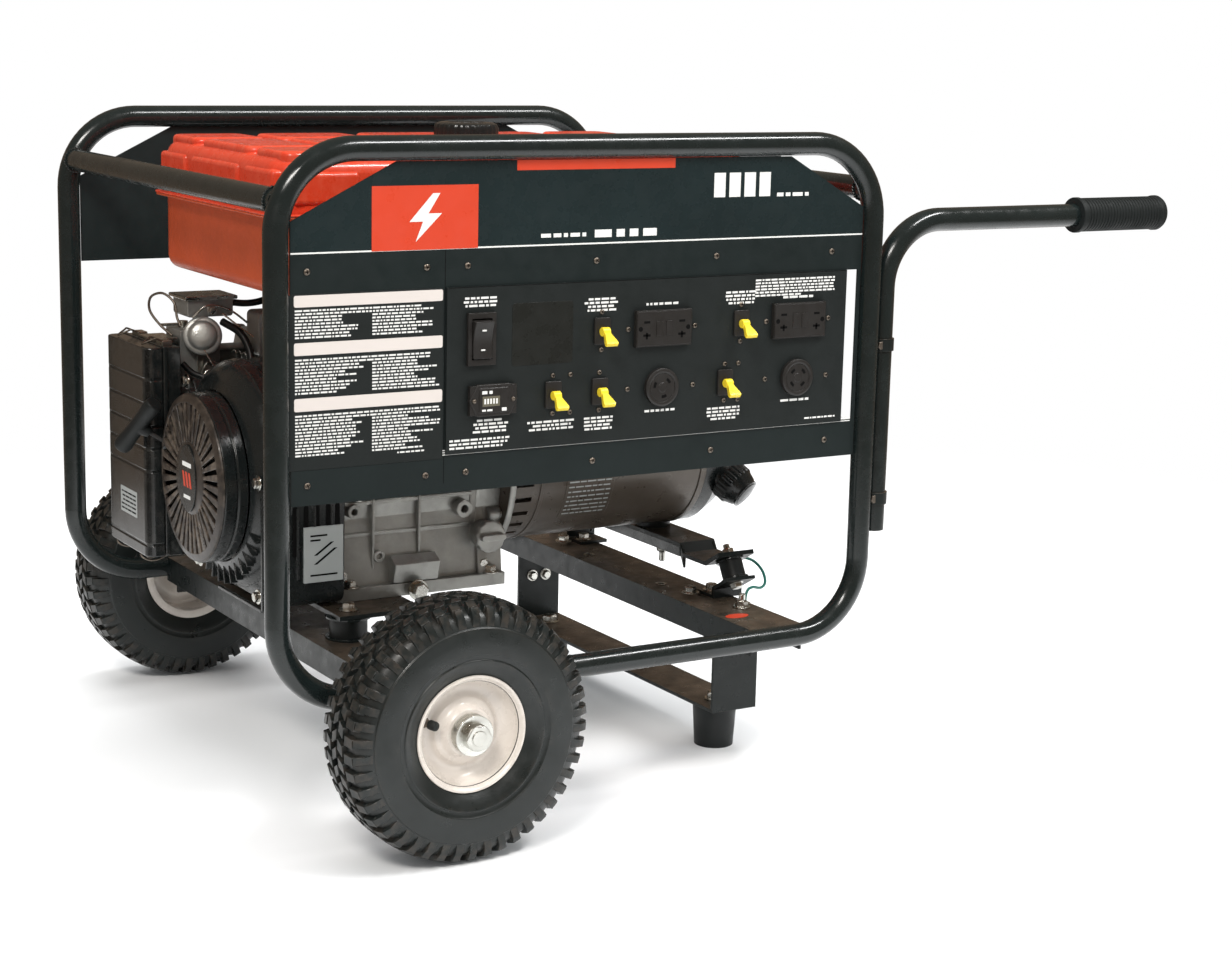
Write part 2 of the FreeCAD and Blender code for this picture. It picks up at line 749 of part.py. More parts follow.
def cylinder_head():
    core = rod((0.0, 0.0, DECK), 46.0, 78.0)
    fins = []
    for row in range(8):
        low = DECK + 4.0 + 9.0 * row
        fins.append(span((-52.0, -51.0, low), (52.0, 51.0, low + 3.0)))
    head = span((-52.0, -51.0, DECK + 76.0), (52.0, 51.0, DECK + 98.0))
    cover = rounded(span((-47.0, -43.0, DECK + 90.0), (47.0, 43.0, DECK + 130.0)), 9.0)
    solid = cut(fuse(core, *fins, head, cover), rod((0.0, 0.0, DECK - 1.0), 38.5, 76.0))
    node("cylinder_head", solid, (CYLINDER_X, S.shaft_y, S.shaft_z), LEAN)


def fan_housing():
    y, z = S.shaft_y, S.shaft_z
    front, back, radius = S.housing_front, S.housing_back, S.housing_radius
    drum = rod((front, y, z), radius, back - front, AXIS_X)
    toe = span((front, y - 126.0, z - radius), (back, y, z))
    hollow = rod((front + 3.0, y, z), radius - 4.0, back - front, AXIS_X)
    toe_hollow = span((front + 3.0, y - 122.0, z - radius + 4.0), (back + 1.0, y, z))
    mouth = rod((front - 1.0, y, z), 100.0, 6.0, AXIS_X)
    node("fan_housing", cut(fuse(drum, toe), hollow, toe_hollow, mouth))


ROPE_EXIT = V(34.0, 400.0, 358.0)
PULL = V(-0.80, 0.25, 0.55).normalize()
GRIP_BAR = V(-0.329, 0.62, -0.76).normalize()
ROPE_LENGTH = 30.0


def along(start, direction, distance):
    return start + direction * distance


def recoil_starter():
    y, z = S.shaft_y, S.shaft_z
    shell = [
        (122.0, 0.0), (122.0, 3.0), (95.0, 3.0), (95.0, 24.0), (S.recoil_radius - 2.0, 32.0),
        (0.0, 32.0), (0.0, 29.5), (86.5, 29.5), (92.5, 23.0), (92.5, 0.0),
    ]
    bowl = put(spun(shell), (S.housing_front, y, z), AXIS_LEFT)
    slots = []
    for step in range(36):
        slot = span((42.0, -2.4, -1.0), (83.0, 2.4, 5.0))
        slots.append(put(group(slot), (0.0, 0.0, 0.0), TURN(Z, 10 * step)))
    grille = put(group(*slots), (S.recoil_face + 4.0, y, z), AXIS_LEFT)
    guide_start = along(ROPE_EXIT, PULL, -14.0)
    guide = rod(tuple(guide_start), 7.5, 14.0, TURN(Z, PULL))
    hole = rod(tuple(along(guide_start, PULL, -2.0)), 2.7, 32.0, TURN(Z, PULL))
    node("recoil_cover", cut(fuse(bowl, guide), grille, hole))
    rope_start = along(ROPE_EXIT, PULL, -8.0)
    rope = rod((0.0, 0.0, 0.0), 2.3, ROPE_LENGTH, TURN(Z, PULL))
    node("starter_rope", rope, tuple(rope_start), TURN(Z, PULL))
    centre = along(rope_start, PULL, ROPE_LENGTH + 14.0)
    ends = along(centre, GRIP_BAR, -39.0)
    bar = rounded(rod(tuple(ends), 11.0, 78.0, TURN(Z, GRIP_BAR)), 4.0, (1, 3))
    throat = cone(tuple(along(centre, PULL, -14.0)), 6.0, 9.0, 12.0, TURN(Z, PULL))
    node("recoil_grip", fuse(bar, throat))


def air_cleaner():
    low, high = (16.0, 412.0, 221.0), (58.4, 545.0, 465.0)
    wall, split = 2.5, 37.0
    for label, keep_from, keep_to in (("air_cleaner_cover", 0.0, split), ("air_cleaner_case", split, 70.0)):
        outer = rounded(span(low, high), 11.0)
        hollow = rounded(span([a + wall for a in low], [b - wall for b in high]), 8.5)
        half = doc.addObject("Part::Common", "half")
        half.Base = cut(outer, hollow)
        half.Tool = span((keep_from, 400.0, 210.0), (keep_to, 560.0, 480.0))
        piece = half
        if label == "air_cleaner_case":
            piece = cut(half, rod((50.0, 478.0, 440.0), 12.0, 12.0, AXIS_X))
        node(label, piece)


def carburettor():
    body = fuse(
        span((74.0, 454.0, 420.0), (122.0, 500.0, 476.0)),
        rod((58.4, 478.0, 440.0), 17.0, 16.0, AXIS_X),
        rod((121.0, 482.0, 440.0), 15.0, 39.0, AXIS_X),
        rod((98.0, 478.0, 396.0), 20.0, 25.0),
    )
    air_way = rod((57.0, 478.0, 440.0), 12.0, 104.0, AXIS_X)
    node("carburettor", cut(body, air_way))
    throttle = fuse(
        rod((0.0, 0.0, 0.0), 6.0, 7.0),
        span((-26.0, -4.0, 2.0), (0.0, 4.0, 4.5)),
    )
    node("throttle_lever", throttle, (90.0, 488.0, 476.2))
    choke = fuse(
        rod((0.0, 0.0, 0.0), 5.0, 6.0, AXIS_BACK),
        span((-3.5, -5.0, -28.0), (3.5, -2.5, 0.0)),
    )
    node("choke_lever", choke, (96.0, 453.8, 452.0))


def muffler():
    low, high, skin = (269.0, 455.0, 395.0), (366.0, 575.0, 515.0), 1.5
    can = cut(
        rounded(span(low, high), 14.0),
        rounded(span([a + skin for a in low], [b - skin for b in high]), 12.5),
    )
    inlet = rod((264.0, 500.0, 420.0), 15.0, 7.0, AXIS_X)
    node("muffler", cut(fuse(can, inlet), rod((262.0, 500.0, 420.0), 12.0, 12.0, AXIS_X)))


def shaft_line():
    """Crankshaft, flywheel and rotor: three pieces that turn together on one axis."""
    y, z = S.shaft_y, S.shaft_z
    small, big = 12.5, S.shaft_radius
    web_z = z - 1.9  # the two webs hang low enough to balance the crankpin
    crank = fuse(
        rod((58.0, y, z), small, 107.0, AXIS_X),
        rod((165.0, y, z), big, 80.0, AXIS_X),
        rod((225.0, y, web_z), 58.0, 20.0, AXIS_X),
        rod((245.0, y, z + 33.0), 16.0, 30.0, AXIS_X),
        rod((275.0, y, web_z), 58.0, 20.0, AXIS_X),
        rod((295.0, y, z), big, 77.0, AXIS_X),
    )
    node("crankshaft", crank)
    wheel = [
        (small, 0.0), (small, 38.0), (30.0, 38.0), (30.0, 14.0), (94.0, 14.0), (94.0, 34.0),
        (106.0, 34.0), (106.0, 0.0),
    ]
    node("flywheel", spun(wheel), (72.0, y, z), AXIS_X)
    armature = fuse(
        rod((372.0, y, z), 15.0, 326.0, AXIS_X),
        rod((400.0, y, z), 84.0, 16.0, AXIS_X),
        rod((460.0, y, z), 62.0, 140.0, AXIS_X),
        rod((626.0, y, z), 24.0, 18.0, AXIS_X),
    )
    node("rotor", armature)


# ---------------------------------------------------------------- alternator


def alternator():
    y, z = S.shaft_y, S.shaft_z
    r = S.barrel_radius
    bell_profile = [
        (60.0, 0.0), (122.0, 0.0), (122.0, 8.0), (r, 8.0), (r, 49.0), (r - 6.0, 49.0),
        (r - 6.0, 8.0), (60.0, 8.0),
    ]
    bell = put(spun(bell_profile), (S.case_back, y, z), AXIS_X)
    vents = []
    for step in range(32):
        vent = span((r - 12.0, -3.2, 14.0), (r + 6.0, 3.2, 42.0))
        vents.append(put(group(vent), (0.0, 0.0, 0.0), TURN(Z, 11.25 * step)))
    node("alternator_adapter", cut(bell, put(group(*vents), (S.case_back, y, z), AXIS_X)))
    long = S.barrel_end - S.barrel_start
    barrel = [
        (r - 5.0, 0.0), (r, 0.0), (r, long), (r - 5.0, long), (r - 5.0, 180.0), (64.0, 180.0),
        (64.0, 44.0), (r - 5.0, 44.0),
    ]
    node("stator_barrel", spun(barrel), (S.barrel_start, y, z), AXIS_X)
    cover = [
        (r, 0.0), (r, 18.0), (92.0, 38.0), (70.0, 52.0), (15.06, 52.0), (15.06, 36.0), (30.0, 36.0),
        (30.0, 47.0), (66.0, 47.0), (88.0, 35.0), (98.0, 16.0), (98.0, 0.0),
    ]
    shell = put(spun(cover), (S.barrel_end, y, z), AXIS_X)
    outlet_way = V(0.42, -0.72, -0.55).normalize()
    outlet = cut(
        rod((672.0, 246.0, 312.0), 19.0, 62.0, TURN(Z, outlet_way)),
        rod((640.0, y, z), 90.0, 45.0, AXIS_X),
        rod((684.0, y, z), 84.0, 6.0, AXIS_X),
    )
    node("end_cover", fuse(shell, outlet))


# ---------------------------------------------------------------- handles


def handle_tube(radius, shorten):
    bend, arm, foot = S.handle_bend, S.handle_arm, S.handle_foot
    return fuse(
        rod((0.0, 0.0, foot - shorten), radius, arm - bend - foot + shorten),
        elbow((bend, 0.0, arm - bend), bend, radius, -X, Z),
        rod((bend, 0.0, arm), radius, S.grip_end - S.grip_rim - bend + shorten, AXIS_X),
    )


def handles():
    wall = 1.8
    folded = TURN(Z, -90)
    rows = (("front", S.handle_y, 0.0, UPRIGHT), ("rear", S.loop_gap - S.handle_y, -S.handle_stagger, folded))
    for side, y, drop, turn in rows:
        tube = cut(handle_tube(S.handle_radius, 0.0), handle_tube(S.handle_radius - wall, 2.0))
        node(f"{side}_handle", tube, (S.handle_x, y, drop), turn)
        arm, start, rim = S.handle_arm, S.grip_start, S.grip_rim
        sleeve = fuse(
            rod((start, 0.0, arm), S.grip_radius, S.grip_end - start, AXIS_X),
            rod((start, 0.0, arm), S.grip_radius + 1.0, rim, AXIS_X),
        )
        inside = S.grip_end - rim - start + 1.0
        sleeve = cut(sleeve, rod((start - 1.0, 0.0, arm), S.handle_radius, inside, AXIS_X))
        node(f"{side}_grip", sleeve, (S.handle_x, y, drop), turn)


# ---------------------------------------------------------------- hose and wire


def cord(label, points, radius):
    """A round cord of straight runs joined by tangent arcs, each as large as its runs allow."""
    route = [V(*point) for point in points]
    edges, start, total = [], route[0], 0.0
    for before, corner, after in zip(route, route[1:], route[2:]):
        back, ahead = (before - corner), (after - corner)
        trim = 0.45 * min(back.Length, ahead.Length)
        back.normalize()
        ahead.normalize()
        half_turn = (math.pi - back.getAngle(ahead)) / 2
        bend = trim / math.tan(half_turn)
        enter, leave = corner + back * trim, corner + ahead * trim
        inward = (back + ahead).normalize()
        middle = corner + inward * (bend / math.cos(half_turn) - bend)
        edges.append(Part.LineSegment(start, enter).toShape())
        edges.append(Part.Arc(enter, middle, leave).toShape())
        total += (enter - start).Length + bend * half_turn * 2
        print(f"{label}: bend radius {bend:.1f}")
        start = leave
    edges.append(Part.LineSegment(start, route[-1]).toShape())
    total += (route[-1] - start).Length
    path = Part.Wire(edges)
    ring = Part.Wire([Part.Circle(route[0], route[1] - route[0], radius).toShape()])
    solid = path.makePipeShell([ring], True, True)
    print(f"{label}: length {total:.1f}, volume ratio {solid.Volume / (math.pi * radius**2 * total):.4f}")
    piece = doc.addObject("Part::Feature", label)
    piece.Shape = solid
    node(label, piece)


FUEL_HOSE = [
    (195.0, 430.0, 549.0), (195.0, 430.0, 530.0), (181.0, 435.0, 513.0), (156.0, 443.0, 505.0),
    (129.0, 453.0, 508.0), (105.0, 461.0, 500.0), (105.0, 461.0, 476.0),
]
GROUND_WIRE = [
    (663.0, 165.0, 209.4), (680.0, 165.0, 209.4), (690.0, 150.0, 198.0), (685.0, 132.0, 184.0),
    (668.0, 119.0, 181.0), (650.0, 111.0, 188.0), (637.0, 106.0, 184.0), (637.0, 106.0, 169.5),
]


def export():
    doc.recompute()
    failed = [item.Label for item in doc.Objects if {"Invalid", "Error"} & set(item.State)]
    if failed:
        raise RuntimeError(f"these objects failed: {failed}")
    for piece in NODES:
        shape = piece.Shape
        if shape.isNull() or not shape.isValid() or not shape.Solids:
            raise RuntimeError(f"{piece.Label} has no valid solid")
        print(f"{piece.Label}: {len(shape.Solids)} solids, {shape.Volume / 1000:.1f} cm3")
    os.makedirs("parts", exist_ok=True)
    for piece in NODES:
        piece.Shape.exportStep(f"parts/{piece.Label}.step")


frame_loops()
top_crossbars()
channel("engine_channel", S.engine_channel_x, S.engine_channel_width, [(MOUNT_X, y) for y in MOUNT_YS])
channel("alternator_channel", S.rear_channel_x, S.rear_channel_width, [(598.0, 230.0), (598.0, 402.0)])
stand()
rubber_mounts()
brackets()
foot_bracket()
wheels()
axle()
fasteners()
panels()
control_panel()
devices()
panel_screws()
switch_levers()
fuel_tank()
crankcase()
cylinder_head()
fan_housing()
recoil_starter()
air_cleaner()
carburettor()
muffler()
shaft_line()
alternator()
handles()
cord("fuel_hose", FUEL_HOSE, 4.0)
cord("ground_wire", GROUND_WIRE, 1.7)
export()
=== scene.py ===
"""Looks for the portable generator: meshes, materials, light and camera around the CAD frame.

Shapes are written in millimetres from the foot of the front left post (x along the frame, y to the
back, z up) and moved to the frame's own metres by place().
"""

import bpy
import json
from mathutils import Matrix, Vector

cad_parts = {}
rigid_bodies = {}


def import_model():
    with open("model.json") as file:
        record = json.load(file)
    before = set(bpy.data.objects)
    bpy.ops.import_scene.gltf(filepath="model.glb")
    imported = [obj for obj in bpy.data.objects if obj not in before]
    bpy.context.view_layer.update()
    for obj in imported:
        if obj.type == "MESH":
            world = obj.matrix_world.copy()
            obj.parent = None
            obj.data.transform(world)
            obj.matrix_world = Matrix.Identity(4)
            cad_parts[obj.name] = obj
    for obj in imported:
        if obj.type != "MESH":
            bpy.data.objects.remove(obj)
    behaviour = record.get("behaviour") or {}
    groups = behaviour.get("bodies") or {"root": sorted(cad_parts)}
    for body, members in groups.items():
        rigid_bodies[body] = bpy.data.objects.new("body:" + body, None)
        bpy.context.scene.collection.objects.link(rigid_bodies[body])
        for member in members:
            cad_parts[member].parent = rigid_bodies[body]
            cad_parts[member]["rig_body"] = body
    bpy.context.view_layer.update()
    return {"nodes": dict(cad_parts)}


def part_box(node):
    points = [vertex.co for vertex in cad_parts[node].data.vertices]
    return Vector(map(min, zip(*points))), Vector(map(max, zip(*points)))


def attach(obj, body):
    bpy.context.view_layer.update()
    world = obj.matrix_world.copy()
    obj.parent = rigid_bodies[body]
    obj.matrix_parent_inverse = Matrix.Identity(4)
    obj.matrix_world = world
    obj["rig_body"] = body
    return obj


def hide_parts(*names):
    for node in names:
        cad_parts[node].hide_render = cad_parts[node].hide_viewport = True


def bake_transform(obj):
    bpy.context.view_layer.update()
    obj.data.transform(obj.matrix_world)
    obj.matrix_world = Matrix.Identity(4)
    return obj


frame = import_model()

import json
import random
from math import cos, pi, radians, sin, sqrt

import bmesh
import bpy
from mathutils import Matrix, Vector

MM = 0.001
X, Y, Z = Vector((1, 0, 0)), Vector((0, 1, 0)), Vector((0, 0, 1))
TUBE = 12.7
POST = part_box("front_loop")[0] + Vector((TUBE, TUBE, 0)) * MM
POST.z = 0
rng = random.Random(7)


def about_x(degrees):
    return Matrix.Rotation(radians(degrees), 3, "X")


def place(x, y, z):
    return Vector((x, y, z)) * MM + POST


def corners(node):
    """A CAD node's box in millimetres from the front left post."""
    return [(corner - POST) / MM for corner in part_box(node)]


# ---------------------------------------------------------------- materials


class Nodes:
    """Short calls for building one material's nodes."""

    def __init__(self, name):
        self.material = bpy.data.materials.new(name)
        self.material.use_nodes = True
        self.tree = self.material.node_tree
        self.shader = self.tree.nodes["Principled BSDF"]
        self.where = self.tree.nodes.new("ShaderNodeTexCoord").outputs["Object"]

    def link(self, source, target):
        self.tree.links.new(source, target)

    def new(self, kind, values=None, links=None):
        """A shader node with these input values and input links."""
        node = self.tree.nodes.new("ShaderNode" + kind)
        for socket, value in (values or {}).items():
            node.inputs[socket].default_value = value
        for socket, source in (links or {}).items():
            self.link(source, node.inputs[socket])
        return node

    def noise(self, scale, detail=4, rough=0.55):
        values = {"Scale": scale, "Detail": detail, "Roughness": rough}
        return self.new("TexNoise", values, {"Vector": self.where}).outputs["Fac"]

    def ramp(self, value, low, high, out_low=0, out_high=1):
        limits = {"From Min": low, "From Max": high, "To Min": out_low, "To Max": out_high}
        return self.new("MapRange", limits, {"Value": value}).outputs["Result"]

    def product(self, first, second):
        node = self.new("Math", None, {0: first, 1: second})
        node.operation = "MULTIPLY"
        return node.outputs[0]

    def mix(self, factor, first, second):
        """From first to second; first is a colour or a node's output, second a colour."""
        node = self.tree.nodes.new("ShaderNodeMix")
        node.data_type = "RGBA"
        self.link(factor, node.inputs["Factor"])
        node.inputs["B"].default_value = (*second, 1)
        if isinstance(first, tuple):
            node.inputs["A"].default_value = (*first, 1)
        else:
            self.link(first, node.inputs["A"])
        return node.outputs["Result"]

    def corners(self):
        """0 on flat faces, rising on the bevelled corners of a finished mesh."""
        return self.ramp(self.new("NewGeometry").outputs["Pointiness"], 0.51, 0.56)

    def edges(self, width):
        """0 on flat faces, rising towards sharp edges; and the normal softened over the width."""
        bevel = self.new("Bevel", {"Radius": width})
        bevel.samples = 4
        plain = self.new("NewGeometry").outputs["Normal"]
        dot = self.new("VectorMath", None, {0: bevel.outputs["Normal"], 1: plain})
        dot.operation = "DOT_PRODUCT"
        return self.ramp(dot.outputs["Value"], 0.995, 0.9), bevel.outputs["Normal"]

    def bump(self, height, distance, normal=None):
        links = {"Height": height, "Normal": normal} if normal else {"Height": height}
        node = self.new("Bump", {"Distance": distance, "Strength": 1}, links)
        self.link(node.outputs["Normal"], self.shader.inputs["Normal"])


def shade(colour, factor):
    return tuple(min(1, channel * factor) for channel in colour)


def finish_of(name, colour, rough, metal=0, coat=0, coat_rough=0.1, vary=0.25, grain=(300, 0.00004),
        spots=18, wear=None, wear_amount=0.5, edge=0, dust_and_reflection=None, rough_vary=0.12, spec=0.5):
    """A solid finish: colour and roughness drift over it, fine grain, softened edges and worn corners."""
    n = Nodes(name)
    for socket, value in (("Specular IOR Level", spec), ("Metallic", metal), ("Coat Weight", coat),
            ("Coat Roughness", coat_rough)):
        n.shader.inputs[socket].default_value = value
    base = n.mix(n.noise(spots, 5, 0.6), shade(colour, 1 - vary), shade(colour, 1 + vary))
    on_edge, soft = n.edges(edge) if edge else (n.corners() if wear else None, None)
    if wear:
        patches = n.ramp(n.noise(90, 6, 0.7), 0.45, 0.62, 0, wear_amount)
        base = n.mix(n.product(on_edge, patches), base, wear)
    # Upward faces turn brown in patches: dust, and a painted reflection of the warm surroundings on the
    # tops.
    if dust_and_reflection:
        normal = n.new("SeparateXYZ", None, {0: n.new("NewGeometry").outputs["Normal"]})
        patches = n.ramp(n.noise(35, 6, 0.65), 0.35, 0.7, 0.25, 0.85)
        base = n.mix(n.product(n.ramp(normal.outputs["Z"], 0.55, 1), patches), base, dust_and_reflection)
    n.link(base, n.shader.inputs["Base Color"])
    low, high = max(0.02, rough - rough_vary), min(1, rough + rough_vary)
    n.link(n.ramp(n.noise(55, 5, 0.6), 0.3, 0.7, low, high), n.shader.inputs["Roughness"])
    n.bump(n.noise(grain[0], 3, 0.6), grain[1], soft)
    return n.material


BLACK, PLASTIC = (0.0085, 0.0125, 0.0122), (0.0085, 0.0105, 0.0105)
RUBBED = (0.05, 0.045, 0.04)
SOFT = 0.0009  # metres over which a shader softens a sharp edge
M = {
    "frame": finish_of("frame_gloss_black", BLACK, 0.24, coat=0.35, coat_rough=0.1, grain=(160, 0.00004),
        edge=SOFT, wear=(0.07, 0.06, 0.05), wear_amount=0.3, spec=0.32),
    # Its upward faces carry brown dust with a painted reflection of the surroundings.
    "channel": finish_of("channel_black", (0.0085, 0.0115, 0.011), 0.34, coat=0.1, coat_rough=0.2,
        edge=SOFT, dust_and_reflection=(0.100, 0.072, 0.050), wear=(0.12, 0.10, 0.08), spec=0.22),
    "panel": finish_of("panel_black", (0.0085, 0.0135, 0.0135), 0.5, grain=(900, 0.00007), vary=0.2,
        edge=SOFT, wear=(0.06, 0.06, 0.06), wear_amount=0.4, spec=0.22),
    "control": finish_of("control_overlay", (0.0095, 0.0125, 0.0122), 0.55, grain=(1500, 0.00004),
        vary=0.15, edge=SOFT, spec=0.25),
    "window": finish_of("blank_window", (0.012, 0.013, 0.0115), 0.3, grain=(700, 0.00003), vary=0.15,
        spec=0.3),
    "band": finish_of("title_band", (0.0095, 0.018, 0.0195), 0.28, coat=0.25, grain=(500, 0.00002),
        vary=0.35, spots=6, spec=0.3),
    "orange": finish_of("orange_print", (0.56, 0.050, 0.020), 0.35, coat=0.2, grain=(500, 0.00002),
        vary=0.06, spec=0.3),
    "print": finish_of("white_print", (0.70, 0.69, 0.66), 0.5, grain=(800, 0.00002), vary=0.06, spec=0.3),
    "header": finish_of("label_header", (0.62, 0.56, 0.52), 0.45, grain=(800, 0.00002), vary=0.05,
        spec=0.3),
    "silver": finish_of("silver_label", (0.40, 0.42, 0.41), 0.4, metal=0.3, grain=(600, 0.00002), vary=0.08,
        spots=40),
    "tank": finish_of("tank_red", (0.56, 0.042, 0.015), 0.3, coat=0.5, coat_rough=0.1, grain=(120, 0.00005),
        vary=0.10, wear=(0.70, 0.16, 0.09), wear_amount=0.35, spec=0.35),
    # A darker, duller copy of the tank's red for its lower half: painted shade.
    "tank_low": finish_of("tank_red_painted_shade", (0.46, 0.062, 0.016), 0.4, coat=0.25, coat_rough=0.15,
        grain=(120, 0.00005), vary=0.16, spec=0.3),
    "cast": finish_of("cast_aluminium", (0.33, 0.33, 0.31), 0.42, metal=0.7, grain=(520, 0.00022), vary=0.4,
        spots=30, wear=(0.62, 0.61, 0.58), wear_amount=0.9, edge=0.0016),
    "shroud": finish_of("shroud_black", PLASTIC, 0.26, coat=0.2, coat_rough=0.2, grain=(420, 0.00008),
        vary=0.25, wear=RUBBED, wear_amount=0.5, edge=SOFT, spec=0.34),
    "gloss": finish_of("moulded_gloss", PLASTIC, 0.2, coat=0.25, coat_rough=0.12, grain=(260, 0.00004),
        vary=0.2, wear=RUBBED, wear_amount=0.4, rough_vary=0.06, spec=0.5),
    "grille": finish_of("recoil_brown_black", (0.021, 0.0165, 0.0135), 0.36, coat=0.15,
        grain=(420, 0.00006), vary=0.3, wear=(0.13, 0.10, 0.075), wear_amount=0.8, spec=0.35),
    "barrel": finish_of("barrel_brown", (0.072, 0.058, 0.045), 0.34, metal=0.25, coat=0.3, coat_rough=0.2,
        edge=SOFT, grain=(260, 0.00005), vary=0.25, spec=0.4),
    "zinc": finish_of("zinc_plate", (0.60, 0.60, 0.56), 0.28, metal=1, grain=(700, 0.00003), vary=0.25,
        spots=60, edge=SOFT),
    "steel": finish_of("machined_steel", (0.50, 0.49, 0.47), 0.3, metal=1, grain=(400, 0.00004), vary=0.15),
    "dark_steel": finish_of("heat_steel", (0.17, 0.145, 0.12), 0.45, metal=0.9, grain=(380, 0.00008),
        vary=0.35, edge=SOFT),
    "rim": finish_of("rim_cream", (0.66, 0.60, 0.54), 0.3, coat=0.35, coat_rough=0.15, grain=(140, 0.00004),
        vary=0.07, wear=(0.42, 0.36, 0.30), wear_amount=0.3),
    "tyre": finish_of("tyre_rubber", (0.0095, 0.0125, 0.0120), 0.36, grain=(620, 0.00010), vary=0.35,
        spots=26, wear=(0.042, 0.034, 0.027), wear_amount=0.7, rough_vary=0.12, spec=0.42),
    "rubber": finish_of("black_rubber", PLASTIC, 0.45, grain=(520, 0.00008), vary=0.25, edge=SOFT,
        spec=0.3),
    "grip": finish_of("grip_foam", (0.009, 0.0115, 0.0115), 0.6, grain=(900, 0.00016), vary=0.25,
        spec=0.25),
    "device": finish_of("device_brown_black", (0.0165, 0.0150, 0.0138), 0.42, grain=(700, 0.00004),
        vary=0.15, edge=SOFT, spec=0.35),
    # Near-black for dark print and seams, and painted shade in slots, vents and recesses.
    "dark_ink_and_shade": finish_of("dark_ink_and_painted_shade", (0.003, 0.003, 0.003), 0.8, grain=(300, 0.00002), spec=0.1),
    "lcd": finish_of("meter_display", (0.12, 0.11, 0.08), 0.25, coat=0.3, grain=(300, 0.00001), vary=0.05),
    "yellow": finish_of("lever_yellow", (0.84, 0.62, 0.03), 0.35, grain=(500, 0.00003), vary=0.06,
        spec=0.35),
    "hose": finish_of("hose_rubber", PLASTIC, 0.34, grain=(420, 0.00006), vary=0.2, spec=0.35),
    "rope": finish_of("rope_braid", (0.02, 0.019, 0.018), 0.8, grain=(1500, 0.0003), vary=0.4),
    "green": finish_of("wire_green", (0.010, 0.13, 0.10), 0.4, grain=(500, 0.00002), vary=0.1),
}

# ---------------------------------------------------------------- mesh making

SHARP = radians(38)
M6, M8 = (10, 5, 7.5), (13, 7, 10.5)  # a bolt's width across its flats, height and washer radius


